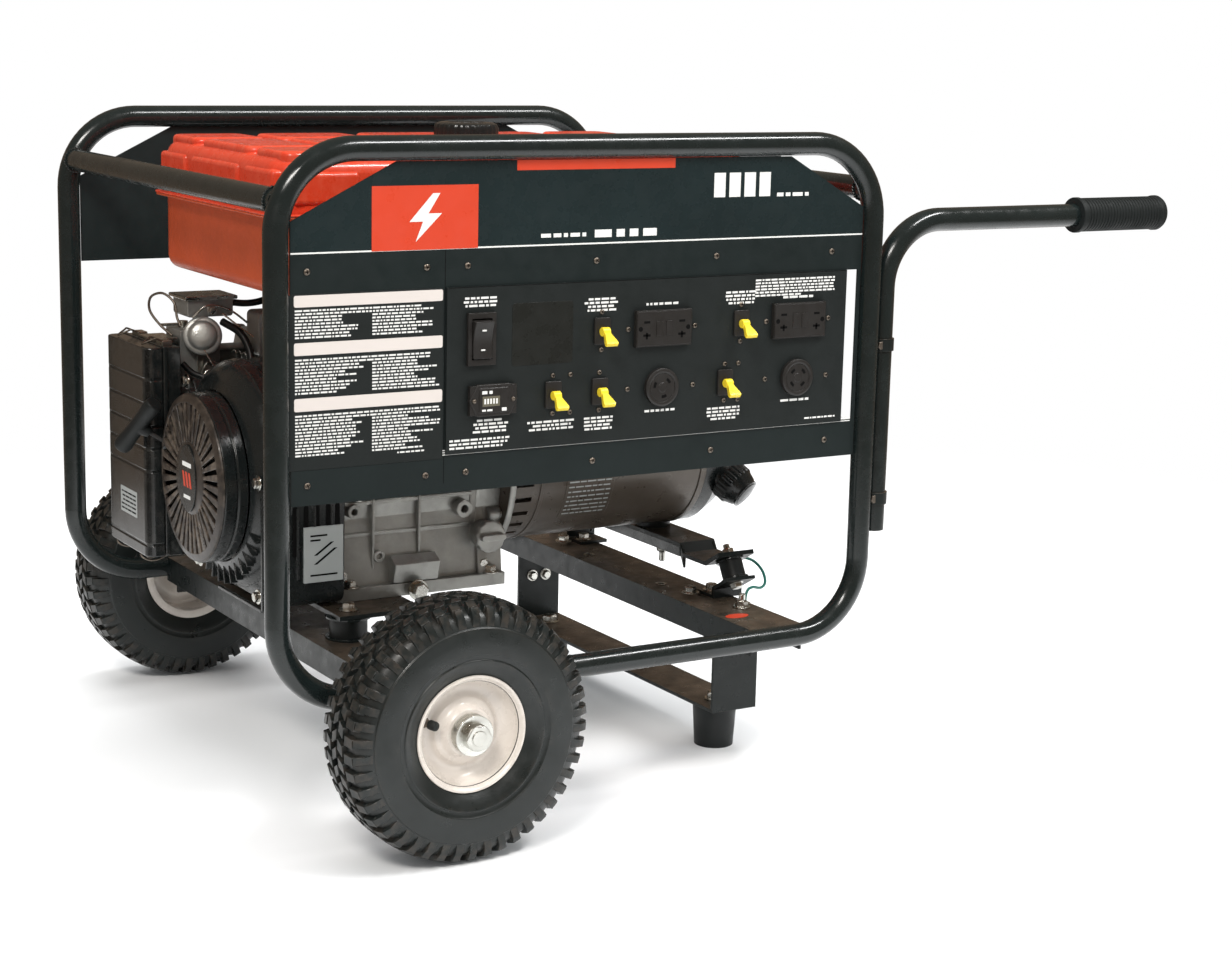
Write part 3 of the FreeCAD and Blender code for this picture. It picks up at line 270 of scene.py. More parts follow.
class Shape:
    """A mesh in the making, in millimetres."""

    def __init__(self):
        self.bm = bmesh.new()
        self.turn = Matrix.Identity(4)

    def at(self, x=0, y=0, z=0, turn=None):
        """Later pieces are placed by this move, until it is called again."""
        self.turn = Matrix.Translation((x, y, z)) @ (turn.to_4x4() if turn else Matrix.Identity(4))
        return self

    def add(self, points, faces):
        made = [self.bm.verts.new(self.turn @ Vector(point)) for point in points]
        for face in faces:
            self.bm.faces.new([made[i] for i in face])
        return made

    def block(self, low, high):
        (a, b, c), (d, e, f) = low, high
        points = [(a, b, c), (d, b, c), (d, e, c), (a, e, c), (a, b, f), (d, b, f), (d, e, f), (a, e, f)]
        faces = [(0, 3, 2, 1), (4, 5, 6, 7), (0, 1, 5, 4), (1, 2, 6, 5), (2, 3, 7, 6), (3, 0, 4, 7)]
        self.add(points, faces)
        return self

    def prism(self, outline, start, end, along="y"):
        """An outline pushed along one axis: (x, z) along y, (y, z) along x or (x, y) along z."""
        at = "xyz".index(along)
        return self.loft([[(*p[:at], depth, *p[at:]) for p in outline] for depth in (start, end)])

    def slab(self, left, low, right, high, radius, start, end, along="y", steps=5):
        """A prism of a rectangle with rounded corners."""
        return self.prism(rounded_rect(left, low, right, high, radius, steps), start, end, along)

    def loft(self, rings):
        """Rings of points joined one to the next, with both ends capped."""
        count, total = len(rings[0]), len(rings[0]) * (len(rings) - 1)
        faces = [tuple(reversed(range(count))), tuple(range(total, total + count))]
        for start in range(0, total, count):
            for k in range(count):
                m = (k + 1) % count
                faces.append((start + k, start + m, start + count + m, start + count + k))
        self.add([point for ring in rings for point in ring], faces)
        return self

    def lathe(self, profile, centre=(0, 0, 0), axis=Z, steps=64, closed=True, ripple=None):
        """A (radius, height) profile turned about an axis through centre."""
        spin = Matrix.Translation(centre) @ Z.rotation_difference(Vector(axis)).to_matrix().to_4x4()
        count = len(profile)
        points = []
        for step in range(steps):
            angle = 2 * pi * step / steps
            for radius, height in profile:
                r = radius + (ripple(step, radius) if ripple else 0)
                points.append(spin @ Vector((r * cos(angle), r * sin(angle), height)))
        faces = []
        for step in range(steps):
            here, after = step * count, (step + 1) % steps * count
            for i in range(count if closed else count - 1):
                j = (i + 1) % count
                faces.append((here + i, after + i, after + j, here + j))
        made = self.add(points, faces)
        bmesh.ops.remove_doubles(self.bm, verts=made, dist=0.0005)
        return self

    def drum(self, centre, axis, radius, length, steps=32, chamfer=0):
        profile = [(0, 0), (radius, 0), (radius, length), (0, length)]
        if chamfer:
            flat = radius - chamfer
            profile[1:3] = [(flat, 0), (radius, chamfer), (radius, length - chamfer), (flat, length)]
        return self.lathe(profile, centre, axis, steps, closed=False)

    def ring(self, centre, axis, inner, outer, length, steps=40):
        return self.lathe([(inner, 0), (outer, 0), (outer, length), (inner, length)], centre, axis, steps)

    def bolt(self, centre, axis, across, height, washer=0, spin=0.2):
        """A flanged hexagon head with a chamfered top."""
        around = Z.rotation_difference(Vector(axis)).to_matrix().to_4x4()
        keep = self.turn
        self.turn = keep @ Matrix.Translation(centre) @ around @ Matrix.Rotation(spin, 4, "Z")
        outer = across / sqrt(3)
        if washer:
            self.drum((0, 0, 0), Z, washer, 1.6, 32, 0.4)
        base = 1.4 if washer else 0
        sizes = ((outer, base), (outer, base + height * 0.82), (outer * 0.86, base + height))
        self.loft([[(*spot, level) for spot in oval(0, 0, size, size, 6)] for size, level in sizes])
        self.turn = keep
        return self

    def screw(self, x, y, z, radius=3.2):
        """The domed head of a screw that faces the front."""
        dome = [(0, 0), (radius, 0), (radius, 0.5), (radius * 0.8, 1.3), (radius * 0.4, 1.75), (0, 1.85)]
        return self.lathe(dome, (x, y, z), -Y, 20, closed=False)

    def wire(self, path, radius, steps=10, smooth=True):
        """A round wire along a path of points, capped at its ends."""
        route = [Vector(p) for p in path]
        if smooth:
            route = rounded_path(route)
        rings, side = [], None
        for i, point in enumerate(route):
            ahead = (route[min(i + 1, len(route) - 1)] - route[max(i - 1, 0)]).normalized()
            if side is None:
                side = ahead.orthogonal().normalized()
            side = (side - ahead * side.dot(ahead)).normalized()
            other = ahead.cross(side)
            rings.append([point + side * a + other * b for a, b in oval(0, 0, radius, radius, steps)])
        return self.loft(rings)

    def done(self, name, material, body="chassis", bevel=0, stands_for=(), slot=None, segments=2):
        """Ends the mesh: its material, body, bevel in millimetres and the CAD nodes that it stands for."""
        bmesh.ops.recalc_face_normals(self.bm, faces=self.bm.faces)
        for vertex in self.bm.verts:
            vertex.co = vertex.co * MM + POST
        mesh = bpy.data.meshes.new(name)
        self.bm.to_mesh(mesh)
        self.bm.free()
        mesh.materials.append(M[material])
        obj = bpy.data.objects.new(name, mesh)
        bpy.context.scene.collection.objects.link(obj)
        mesh.shade_smooth()
        mesh.set_sharp_from_angle(angle=SHARP)
        if bevel:
            soften = obj.modifiers.new("edges", "BEVEL")
            soften.width = bevel * MM
            soften.segments = segments
            soften.limit_method = "ANGLE"
            soften.angle_limit = SHARP
            obj.modifiers.new("normals", "WEIGHTED_NORMAL").keep_sharp = True
        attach(obj, body)
        if stands_for:
            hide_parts(*stands_for)
        return obj


def rounded_path(points, steps=6):
    """A smooth line through the points."""
    padded = [points[0] * 2 - points[1]] + points + [points[-1] * 2 - points[-2]]
    line = []
    for a, b, c, d in zip(padded, padded[1:], padded[2:], padded[3:]):
        for step in range(steps):
            t = step / steps
            line.append(((b * 2) + (c - a) * t + (a * 2 - b * 5 + c * 4 - d) * t * t
                         + (b * 3 - a - c * 3 + d) * t ** 3) / 2)
    return line + [points[-1]]


def ridges(depth, every, wide, beyond):
    """A lathe's ripple: grooves that are wide of every so many steps, past a radius."""
    return lambda step, radius: -depth if step % every < wide and radius > beyond else 0


def oval(cx, cy, wide, tall, count):
    turns = [2 * pi * k / count for k in range(count)]
    return [(cx + wide * cos(a), cy + tall * sin(a)) for a in turns]


def rounded_rect(left, low, right, high, radius, steps=5):
    outline = []
    for cx, cz, start in ((right - radius, high - radius, 0), (left + radius, high - radius, 90),
            (left + radius, low + radius, 180), (right - radius, low + radius, 270)):
        for k in range(steps + 1):
            a = radians(start + 90 * k / steps)
            outline.append((cx + radius * cos(a), cz + radius * sin(a)))
    return outline


def give(material, *nodes):
    """A CAD node keeps its shape and takes a material."""
    for name in nodes:
        mesh = frame["nodes"][name].data
        mesh.materials.clear()
        mesh.materials.append(M[material])


# ---------------------------------------------------------------- camera, light and floor


def camera():
    lens = bpy.data.cameras.new("camera")
    lens.lens = 68.31
    lens.sensor_width = 36
    lens.clip_end = 200
    obj = bpy.data.objects.new("camera", lens)
    bpy.context.scene.collection.objects.link(obj)
    right, up = Vector((0.8560, -0.5165, 0.0236)), Vector((0.0821, 0.1810, 0.9801))
    ahead = Vector((0.5105, 0.8370, -0.1973))
    obj.matrix_world = Matrix((right, up, -ahead)).transposed().to_4x4()
    obj.matrix_world.translation = place(-886.15, -2093.28, 850.41)
    bpy.context.scene.camera = obj


def softbox(name, where, towards, size, power, tint=(1, 1, 1), mirrored=True):
    """An area light; one that isn't mirrored lights surfaces without showing in glossy ones."""
    lamp = bpy.data.lights.new(name, "AREA")
    lamp.shape = "RECTANGLE"
    lamp.size, lamp.size_y = size
    lamp.energy = power
    lamp.color = tint
    obj = bpy.data.objects.new(name, lamp)
    bpy.context.scene.collection.objects.link(obj)
    obj.location = where
    obj.rotation_euler = (Vector(towards) - Vector(where)).to_track_quat("-Z", "Y").to_euler()
    obj.visible_glossy = mirrored


def surroundings():
    """White behind the object, soft daylight on it, and a dim warm room in its reflections."""
    world = bpy.data.worlds.new("studio")
    bpy.context.scene.world = world
    world.use_nodes = True
    tree = world.node_tree
    sky = tree.nodes["Background"]
    seen, room = (tree.nodes.new("ShaderNodeBackground") for _ in range(2))
    for light, colour, strength in ((sky, (0.95, 0.98, 1), 0.62), (seen, (1, 1, 1), 1),
            (room, (0.30, 0.215, 0.150), 0.65)):
        light.inputs["Color"].default_value = (*colour, 1)
        light.inputs["Strength"].default_value = strength
    ray = tree.nodes.new("ShaderNodeLightPath")
    lit, shown = (tree.nodes.new("ShaderNodeMixShader") for _ in range(2))
    for mixed, kind, usual, special in ((lit, "Is Glossy Ray", sky, room), (shown, "Is Camera Ray", lit,
            seen)):
        for source, socket in ((ray.outputs[kind], "Fac"), (usual.outputs[0], 1), (special.outputs[0], 2)):
            tree.links.new(source, mixed.inputs[socket])
    tree.links.new(shown.outputs[0], tree.nodes["World Output"].inputs["Surface"])


def floor():
    """A pale floor that fades into the white surroundings away from the object."""
    n = Nodes("studio_floor")
    n.link(n.mix(n.noise(0.8), (0.86, 0.86, 0.86), (0.88, 0.88, 0.88)), n.shader.inputs["Base Color"])
    n.shader.inputs["Roughness"].default_value = 0.8
    n.shader.inputs["Specular IOR Level"].default_value = 0.1
    away = n.new("VectorMath", None, {0: n.where})
    away.operation = "LENGTH"
    clear = n.new("BsdfTransparent").outputs[0]
    faded = n.ramp(away.outputs["Value"], 0.95, 1.9)
    fade = n.new("MixShader", None, {"Fac": faded, 1: n.shader.outputs[0], 2: clear})
    n.link(fade.outputs[0], n.tree.nodes["Material Output"].inputs["Surface"])
    reach = 3
    mesh = bpy.data.meshes.new("floor")
    square = [(-reach, -reach, 0), (reach, -reach, 0), (reach, reach, 0), (-reach, reach, 0)]
    mesh.from_pydata(square, [], [(0, 1, 2, 3)])
    mesh.materials.append(n.material)
    obj = bpy.data.objects.new("floor", mesh)
    bpy.context.scene.collection.objects.link(obj)


def studio():
    bpy.context.scene.view_settings.view_transform = "Standard"
    surroundings()
    softbox("key", (-2.6, -2.6, 3.4), (0, 0, 0.3), (1.5, 0.8), 120, (1, 0.97, 0.93))
    softbox("fill", (3.2, -2.8, 2), (0.1, 0, 0.3), (2, 2), 45, (0.93, 0.97, 1), False)
    softbox("top", (0, 0.4, 3.6), (0, 0, 0.3), (3.4, 2.2), 100, mirrored=False)
    softbox("strip", (1.2, -1.6, 3), (0.1, 0, 0.4), (1.8, 0.3), 70)
    softbox("back", (0.6, 3.6, 2.4), (0, 0, 0.3), (3, 1.6), 60, mirrored=False)
    floor()


# ---------------------------------------------------------------- wheels

TYRE_R, TYRE_W = 136.5, 43.6
WHEELS = (("front", Vector((164.2, -73.2, TYRE_R)), -1), ("rear", Vector((164.2, 693.5, TYRE_R)), 1))
TREAD_BASE = TYRE_R - 5.5
PITCHES = 46


def tread_block(shape, angle, half, low, high, radii, base, skew=0):
    """One tread block: an angular span by a height span, with its top at radii and its foot at base."""
    points = []
    for level, shrink in ((0, 1), (1, 0.82)):
        for height, side in ((low, 0), (high, 1)):
            radius = radii[side] if level else base[side]
            for turn in (-1, 1):
                lean = skew * (height - (low + high) / 2)
                middle = (low + high) / 2 + (height - (low + high) / 2) * (0.92 if level else 1)
                a = angle + turn * half * shrink + lean
                points.append((radius * cos(a), radius * sin(a), middle))
    faces = [(0, 1, 3, 2), (4, 6, 7, 5), (0, 2, 6, 4), (1, 5, 7, 3), (0, 4, 5, 1), (2, 3, 7, 6)]
    shape.add(points, faces)


def tyre(side, centre, facing):
    shape = Shape()
    r, w = TREAD_BASE, TYRE_W
    profile = [(r, 0), (r - 0.2, 12), (r - 1.4, 24), (r - 4, 31), (r - 9.5, 36.5), (r - 17, 39.8),
        (r - 19, 40.6), (r - 19.6, 41.8), (r - 21, 42.2), (r - 30, w - 0.4), (r - 38, w), (r - 46, w - 0.4),
        (83, w - 2.2), (79.5, w - 2.6), (78.5, w - 1.6), (76.5, w - 1.8), (72, w - 4.2), (66, w - 8),
        (62.5, w - 11), (60.5, 31.6), (54.5, 30), (56, 20)]
    profile += [(radius, -height) for radius, height in reversed(profile[1:])]
    shape.lathe(profile, centre, facing, 128)
    shape.at(*centre, Z.rotation_difference(facing).to_matrix())
    pitch = 2 * pi / PITCHES
    top = TYRE_R - 0.3
    outer_blocks = ((0.29, 34, 40.2, (top - 4.2, top - 13.5), (r - 8, r - 20), 0),
        (0.33, 21, 33.6, (top - 0.7, top - 4), (r - 2.5, r - 7.5), 0.0012))
    for k in range(PITCHES):
        for mirror in (1, -1):
            start = (k + (0.5 if mirror > 0 else 0)) * pitch
            for wide, near, far, tops, feet, skew in outer_blocks:
                low, high = sorted((near * mirror, far * mirror))
                tread_block(shape, start, pitch * wide, low, high, tops[::mirror], feet[::mirror],
                    skew * mirror)
        tread_block(shape, k * pitch, pitch * 0.36, -18.5, -7.5, (top - 0.4, top), (r - 2, r - 2), 0.004)
        tread_block(shape, (k + 0.5) * pitch, pitch * 0.36, -5, 5, (top, top), (r - 2, r - 2), -0.004)
        tread_block(shape, k * pitch, pitch * 0.36, 7.5, 18.5, (top, top - 0.4), (r - 2, r - 2), 0.004)
    shape.at()
    shape.done(f"{side}_tyre_tread", "tyre", f"{side}_wheel", 0.35, (f"{side}_tyre",), "tyre", 1)


def wheel(side, centre, out):
    facing = Vector((0, out, 0))
    tyre(side, centre, facing)
    rim = [(17.1, 3), (24, 12), (33, 4.5), (41, 3.5), (47, 5), (50.5, 3), (51.5, -4), (51.8, -32),
        (55, -34), (59.8, -34), (61, -33), (60.8, -31.6), (55.3, -31), (54, -28), (53.8, 26), (55.3, 31),
        (60.6, 31.6), (61.2, 32.6), (60.6, 33.8), (58.6, 34), (56.8, 32.6), (55, 28), (52.6, 20.5),
        (49.2, 14.6), (44.6, 11.2), (40, 10.6), (36.6, 12), (34.6, 15.2), (33, 17.2), (30, 18.4),
        (27.6, 20.4), (26, 24.2), (23.8, 26.4), (17.1, 27)]
    hidden = (f"{side}_rim", f"{side}_wheel_disc")
    Shape().lathe(rim, centre, facing, 96).done(f"{side}_rim_pressing", "rim", f"{side}_wheel", 0, hidden,
        "rim_cream")
    turn = Z.rotation_difference(facing).to_matrix()
    hub = Shape().at(*centre, turn)
    hub.lathe([(8.3, -40), (16.2, -40), (17, -39), (17, 27.1), (20.4, 27.1), (21, 27.8), (21, 33.6),
        (19.6, 36), (18, 36.4), (8.3, 36.4)], steps=64)
    hub.at().done(f"{side}_hub_sleeve", "zinc", f"{side}_wheel", 0, (f"{side}_hub",), "rim_cream")
    stem, cap = Shape().at(*centre, turn), Shape().at(*centre, turn)
    base = Vector((out * 45, 14, 15))
    lean = Vector((out * -0.45, -0.12, 0.9)).normalized()
    stem.lathe([(0, 0), (5.4, 0), (5.4, 2), (4, 3.4), (3.7, 9), (0, 9)], base, lean, 24, closed=False)
    cap.lathe([(0, 7), (4.6, 7), (5, 8), (5, 14.6), (4.2, 16.4), (2.2, 17.2), (0, 17.3)], base, lean, 36,
        closed=False, ripple=ridges(0.35, 3, 1, 4.9))
    stem.at().done(f"{side}_valve_stem", "dark_steel", f"{side}_wheel")
    cap.at().done(f"{side}_valve_cap", "rubber", f"{side}_wheel")


def axle_ends():
    for side, centre, out in WHEELS:
        shape, bar = Shape(), Shape()
        facing = Vector((0, out, 0))
        start = centre + facing * 36.9
        shape.ring(start, facing, 8.2, 21.1, 2.2)
        shape.bolt(start + facing * 2.3, facing, 24.1, 9.7)
        shape.ring(start + facing * 2.3, facing, 8.2, 13.6, 9.3)
        face = [(0, 0), (8.1, 0), (8.1, 11.2), (7.2, 12), (0, 12.2)]
        bar.lathe(face, start + facing, facing, 32, closed=False)
        shape.done(f"{side}_axle_nut", "zinc", "chassis", 0.3, slot="steel")
        bar.done(f"{side}_axle_face", "dark_steel", "chassis", 0, slot="steel")


# ---------------------------------------------------------------- panel print and devices

FRONT, PLATE = -2, -4
UPPER, LOWER = 520.5, 456.5
BREAKERS = ((307.9, LOWER), (364.3, LOWER), (522.7, LOWER), (365.7, UPPER), (541.8, UPPER))
DUPLEX, LOCKING = (440.5, 617.4), (440.5, 617.6)
INK = 0.12  # how far print stands off its panel


def ink(shape, left, right, low, high, face, thick=INK):
    shape.block((left, face - thick, low), (right, face + 0.02, high))


def words(shape, left, right, z, tall, face, centred=False, fill=1):
    """A row of plain dashes where the real panel has a line of writing."""
    span = (right - left) * fill
    x = (left + right - span) / 2 if centred else left
    end = x + span
    while x < end - tall:
        wide = min(end - x, tall * rng.uniform(1, 4.6))
        ink(shape, x, x + wide, z - tall / 2, z + tall / 2, face)
        x += wide + tall * 0.75


def panel_print():
    band = Shape()
    left, right, low = 14.8, 703, 613.5
    outline = [(left, low), (right, low), (right, 642.8), (602.6, 699.6), (128.5, 699.6), (left, 643)]
    band.prism(outline, FRONT - 0.25, FRONT + 0.02).done("title_band", "band")
    face = FRONT - 0.25
    blocks = Shape()
    ink(blocks, 101, 219, 612, 676, face, 0.25)
    ink(blocks, 263, 453, 689.2, 699.4, face, 0.2)
    blocks.done("orange_blocks", "orange")
    white = Shape()
    ink(white, left, right, 611.6, 613.2, FRONT, 0.3)
    bolt = [(168, 668), (142, 640), (157, 640), (149, 620), (178, 648), (163, 648), (176, 668)]
    white.prism(bolt, face - 0.45, face - 0.2)
    for k in range(4):
        ink(white, 503 + 19.5 * k, 517.5 + 19.5 * k, 657, 683, face)
    words(white, 585, 628, 658.5, 4, face)
    words(white, 292, 350, 622, 4, face)
    words(white, 356, 432, 622.5, 8, face)
    for low in (401.2, 403.5, 405.8):
        ink(white, left, 697, low, low + 1, FRONT, 0.15)
    for x, z, wide in ((307.9, 423, 62), (364.3, 423, 44), (522.7, 423, 44), (365.7, 549, 44),
            (541.8, 549, 44), (222.4, 556, 46), (235.5, 429.5, 44)):
        for row in range(4 if wide == 44 else 3):
            words(white, x - wide / 2, x + wide / 2, z + 5.2 - 3.9 * row, 2.2, PLATE, True,
                rng.uniform(0.72, 1))
    for x in DUPLEX:
        words(white, x - 20, x + 20, UPPER + 25.5, 2.5, PLATE, True)
    for x in LOCKING:
        words(white, x - 19, x + 19, LOWER - 25.5, 2.5, PLATE, True)
    for row in range(6):
        words(white, 560, 672, 566 - 3.4 * row, 1.9, PLATE, False, 0.95 if row < 5 else 0.55)
    for row in range(3):
        words(white, 188, 262, 415.5 - 3.9 * row, 2.1, PLATE, False, rng.uniform(0.75, 0.95))
    words(white, 632, 674, 409, 1.8, PLATE)
    white.done("panel_captions", "print")


def label_plate():
    sheet, lines, bars = Shape(), Shape(), Shape()
    sheet.slab(12.5, 398, 181, 573, 2.5, FRONT - 0.5, FRONT + 0.02)
    sheet.done("label_plate", "control")
    face = FRONT - 0.5
    for low, high in ((560, 571.5), (512.5, 525), (457, 470)):
        bars.slab(18, low, 180, high, 2, face - 0.15, face + 0.02)
    bars.done("label_headers", "header")
    for top, bottom in ((556.5, 529), (508, 474), (452.5, 412)):
        z, row = top, 0
        while z > bottom:
            for start, end, least in ((19, 178, 0.85),) if row < 2 else ((19, 95, 0.6), (102, 178, 0.5)):
                words(lines, start, end, z, 1.7, face, False, rng.uniform(least, 1))
            z -= 3.3
            row += 1
    words(lines, 130, 160, 408.5, 1.6, face)
    lines.done("label_lines", "print")
    seams = Shape()
    ink(seams, 182.2, 183, 372, 612, FRONT, 0.06)
    ink(seams, 186, 681, 572.2, 572.9, PLATE, 0.08)
    seams.done("panel_seams", "dark_ink_and_shade")
    window = Shape()
    window.slab(259, 489, 331, 554, 3, PLATE - 0.25, PLATE + 0.02)
    window.done("blank_window", "window", bevel=0.1)


def screws():
    shape, crosses = Shape(), Shape()
    spots = [(x, FRONT, z, 3.4) for x in (32, 162, 208, 359, 509, 662) for z in (594.3, 382)]
    spots += [(x, PLATE, z + shift, 2.7) for x, z in BREAKERS for shift in (-20, 20)]
    spots += [(x, PLATE, UPPER, 2.9) for d in DUPLEX for x in (d - 41.8, d + 41.8)]
    spots += [(x, PLATE, LOWER, 2.9) for d in LOCKING for x in (d - 41.3, d + 41.3)]
    spots += [(x, PLATE, LOWER + shift, 2.7) for x in (329, 540.5) for shift in (-20, 20)]
    for x, y, z, radius in spots:
        shape.screw(x, y, z, radius)
        # Each head's cross recess is a near-black cross laid on the dome: painted shade.
        crosses.at(x, y - 1.72, z, Matrix.Rotation(rng.uniform(0, 1.5), 3, "Y"))
        arm = radius * 0.55
        crosses.block((-arm, -0.2, -0.35), (arm, 0.1, 0.35))
        crosses.block((-0.35, -0.2, -arm), (0.35, 0.1, arm))
    shape.done("panel_screw_heads", "dark_steel", stands_for=("panel_screws",), slot="steel")
    crosses.at()
    crosses.done("screw_recess_shade", "dark_ink_and_shade")


def outlets():
    face = PLATE - 5
    body, dark = Shape(), Shape()
    # The slots and ground holes are near-black pieces on the faces: painted shade in the openings.
    for x in DUPLEX:
        body.slab(x - 34, UPPER - 18.6, x + 34, UPPER + 18.6, 3, face - 0.8, face + 0.02)
        for side in (-1, 1):
            middle = x + side * 22
            for up, tall in ((-7, 9), (7, 7.4)):
                low, high = UPPER + up - 1.2, UPPER + up + 1.2
                dark.block((middle - tall / 2, face - 0.95, low), (middle + tall / 2, face, high))
            dark.block((middle - 1.2, face - 0.95, UPPER - 11), (middle + 1.2, face, UPPER - 4))
            dark.drum((middle + side * 7.8, face, UPPER), -Y, 2.6, 0.95, 16)
    body.done("duplex_faces", "device", bevel=0.5)
    lock_face = PLATE - 4
    disc = Shape()
    for x in LOCKING:
        disc.lathe([(15.6, 0), (20.6, 0), (20.6, 0.8), (19.4, 1.7), (16.8, 1.7), (15.6, 0.9)],
            (x, lock_face, LOWER), -Y, 48)
        disc.drum((x, lock_face, LOWER), -Y, 15.4, 1, 48, 0.4)
        disc.drum((x, lock_face, LOWER), -Y, 5.2, 1.6, 32, 0.4)
        for k in range(4 if x > 500 else 3):
            start = radians((90 if x > 500 else 120) * k + 25)
            inner = [(8.6, start + turn) for turn in (0, 0.2, 0.4, 0.6)]
            outer = [(11.6, angle) for _, angle in reversed(inner)]
            slot = [(x + r * cos(a), LOWER + r * sin(a)) for r, a in inner + outer]
            dark.prism(slot, lock_face - 1.15, lock_face)
    disc.done("locking_faces", "device")
    dark.done("outlet_slot_shade", "dark_ink_and_shade")


def meter_and_rocker():
    x, z, face = 235.5, 456.2, PLATE - 5
    bezel = Shape()
    outline = [(x - 28, z), (x - 19, z + 16.5), (x + 19, z + 16.5), (x + 28, z), (x + 19, z - 16.5),
        (x - 19, z - 16.5)]
    bezel.prism(outline, face - 1, PLATE - 0.02)
    bezel.slab(x - 17, z - 13, x + 17, z + 13, 2, face - 2, face)
    bezel.done("meter_bezel", "device", bevel=0.8)
    glass, marks = Shape(), Shape()
    glass.block((x - 13.5, face - 2.15, z - 6), (x + 6.5, face - 1.9, z + 4.5))
    glass.done("meter_display", "lcd")
    words(marks, x - 14, x + 2, z + 8.5, 3.2, face - 2)
    for k in range(5):
        ink(marks, x - 11.5 + 3.4 * k, x - 9.6 + 3.4 * k, z - 3.4, z + 2, face - 2.15, 0.05)
    words(marks, x - 14, x - 2, z - 10, 2, face - 2)
    ink(marks, x + 9, x + 14.5, z - 11.5, z - 8, face - 2)
    marks.done("meter_marks", "print")
    heads = Shape()
    for side in (-1, 1):
        heads.screw(x + side * 22.6, face - 1, z, 2.4)
    heads.done("meter_screws", "dark_steel")
    tilt = (222.4, PLATE - 2, 519.5, about_x(7))
    rocker, signs = Shape().at(*tilt), Shape().at(*tilt)
    curve = [(0, -19.4), (3, -19.4), (3, 19.4), (0, 19.4)]
    for k in range(9):
        s = k / 8
        curve.append((-7 + 3.2 * sin(pi * s), 19.4 - 38.8 * s))
    rocker.prism(curve, -10.8, 10.8, "x")
    rocker.at().done("rocker_paddle", "device", "idle_rocker", 0.7, ("idle_rocker",), "device_black")
    signs.block((-2.4, -5.9, 9.4), (2.4, -5, 11))
    signs.block((-2.2, -5.9, -11), (2.2, -5, -9.6))
    signs.at().done("rocker_signs", "print", "idle_rocker")


def toggles():
    for number, (x, z) in enumerate(BREAKERS, start=1):
        lever = Shape().at(x, PLATE - 8, z, about_x(35))
        sections = ((2, 3.4, 2.2, 0.6), (-3, 3.4, 2.6, 0.3), (-8, 4.2, 2.7, -0.3), (-13, 6, 2.8, -0.9),
            (-17.5, 7.2, 2.6, -1.2), (-19.5, 6.8, 2, -1.2))
        lever.loft([[(-wide, y, drop - tall), (wide, y, drop - tall), (wide, y, drop + tall),
            (-wide, y, drop + tall)] for y, wide, tall, drop in sections])
        lever.drum((-4.6, 0, 0), X, 4.8, 9.2, 24, 0.5)
        lever.at()
        node = f"breaker_toggle_{number}"
        lever.done(f"breaker_lever_{number}", "yellow", node, 1, (node,), "lever_yellow", 3)
    collars = Shape()
    for x, z in BREAKERS:
        collars.slab(x - 9.6, z - 14.2, x + 9.6, z + 14.2, 2, PLATE - 3.1, PLATE)
    collars.done("breaker_collars", "device", bevel=0.5)


# ---------------------------------------------------------------- engine

SHAFT = (316, 332)
RECOIL_X, BLOWER_X = 30, 62
EXIT = Vector((34, 400, 358))
PULL = Vector((-0.80, 0.25, 0.55)).normalized()
GRIP_BAR = Vector((-0.329, 0.62, -0.76)).normalized()


def arc(cy, cz, radius, start, end, steps=20):
    """Points of an arc about (cy, cz), from start to end degrees."""
    turn = [radians(start + (end - start) * k / steps) for k in range(steps + 1)]
    return [(cy + radius * cos(a), cz + radius * sin(a)) for a in turn]


def ribbed_disc():
    """The recoil cover: a disc of radial ribs with long slots between them, and an oval badge."""
    cy, cz = SHAFT
    shape = Shape()
    face = [(94, 5), (93, 2.4), (88.5, 0.6), (84, 0), (84, 3.5), (90, 5)]
    shape.lathe(face, (RECOIL_X, cy, cz), X, 96)
    shape.lathe([(0, -1.6), (30, -1.2), (40, 0), (41.5, 1.4), (41.5, 3.5), (0, 3.5)], (RECOIL_X, cy, cz), X,
        96, closed=False)
    for k in range(36):
        shape.at(RECOIL_X, cy, cz, about_x(10 * k))
        outline = [(-1.9, 40.5), (1.9, 40.5), (4.4, 85.5), (-4.4, 85.5)]
        shape.prism(outline, 0.2, 3.6, "x")
    shape.at().done("recoil_grille", "grille", bevel=0.6, stands_for=("recoil_cover",), slot="shroud_black")
    side = Shape()
    drum = [(94.2, 5.2), (95, 7), (95, 18), (93.8, 19), (93.8, 20.5), (95, 21.5), (95, 31.5), (91, 31.5),
        (90.4, 5.2)]
    side.lathe(drum, (RECOIL_X, cy, cz), X, 96)
    side.done("recoil_drum", "shroud", bevel=0.4)
    # A near-black disc behind the ribs: painted shade for the housing's dark inside.
    back = Shape().drum((41, cy, cz), X, 90.2, 2, 64)
    back.done("recoil_inside_shade", "dark_ink_and_shade")
    badge, mark = Shape(), Shape()
    badge.prism(oval(cy, cz, 25.5, 38, 48), 27.4, 30.5, "x")
    badge.done("recoil_badge", "shroud", bevel=0.5)
    for half, low, high in ((13, 13, 18), (10, -23, -19)):
        mark.block((27.2, cy - half, cz + low), (27.5, cy + half, cz + high))
    mark.done("badge_bars", "print")
    stripe = Shape()
    for shift in (-9, 0, 9):
        y = cy + shift
        stripe.prism([(y - 5, cz - 10), (y, cz - 10), (y + 5, cz + 7), (y, cz + 7)], 27.2, 27.5, "x")
    stripe.done("badge_stripes", "orange")
    shape = Shape()
    shape.lathe([(8.4, -14), (8.8, -2), (7.4, 0), (3.2, 0), (3.2, -14)], EXIT, PULL, 32)
    shape.done("rope_guide", "shroud", bevel=0.5)


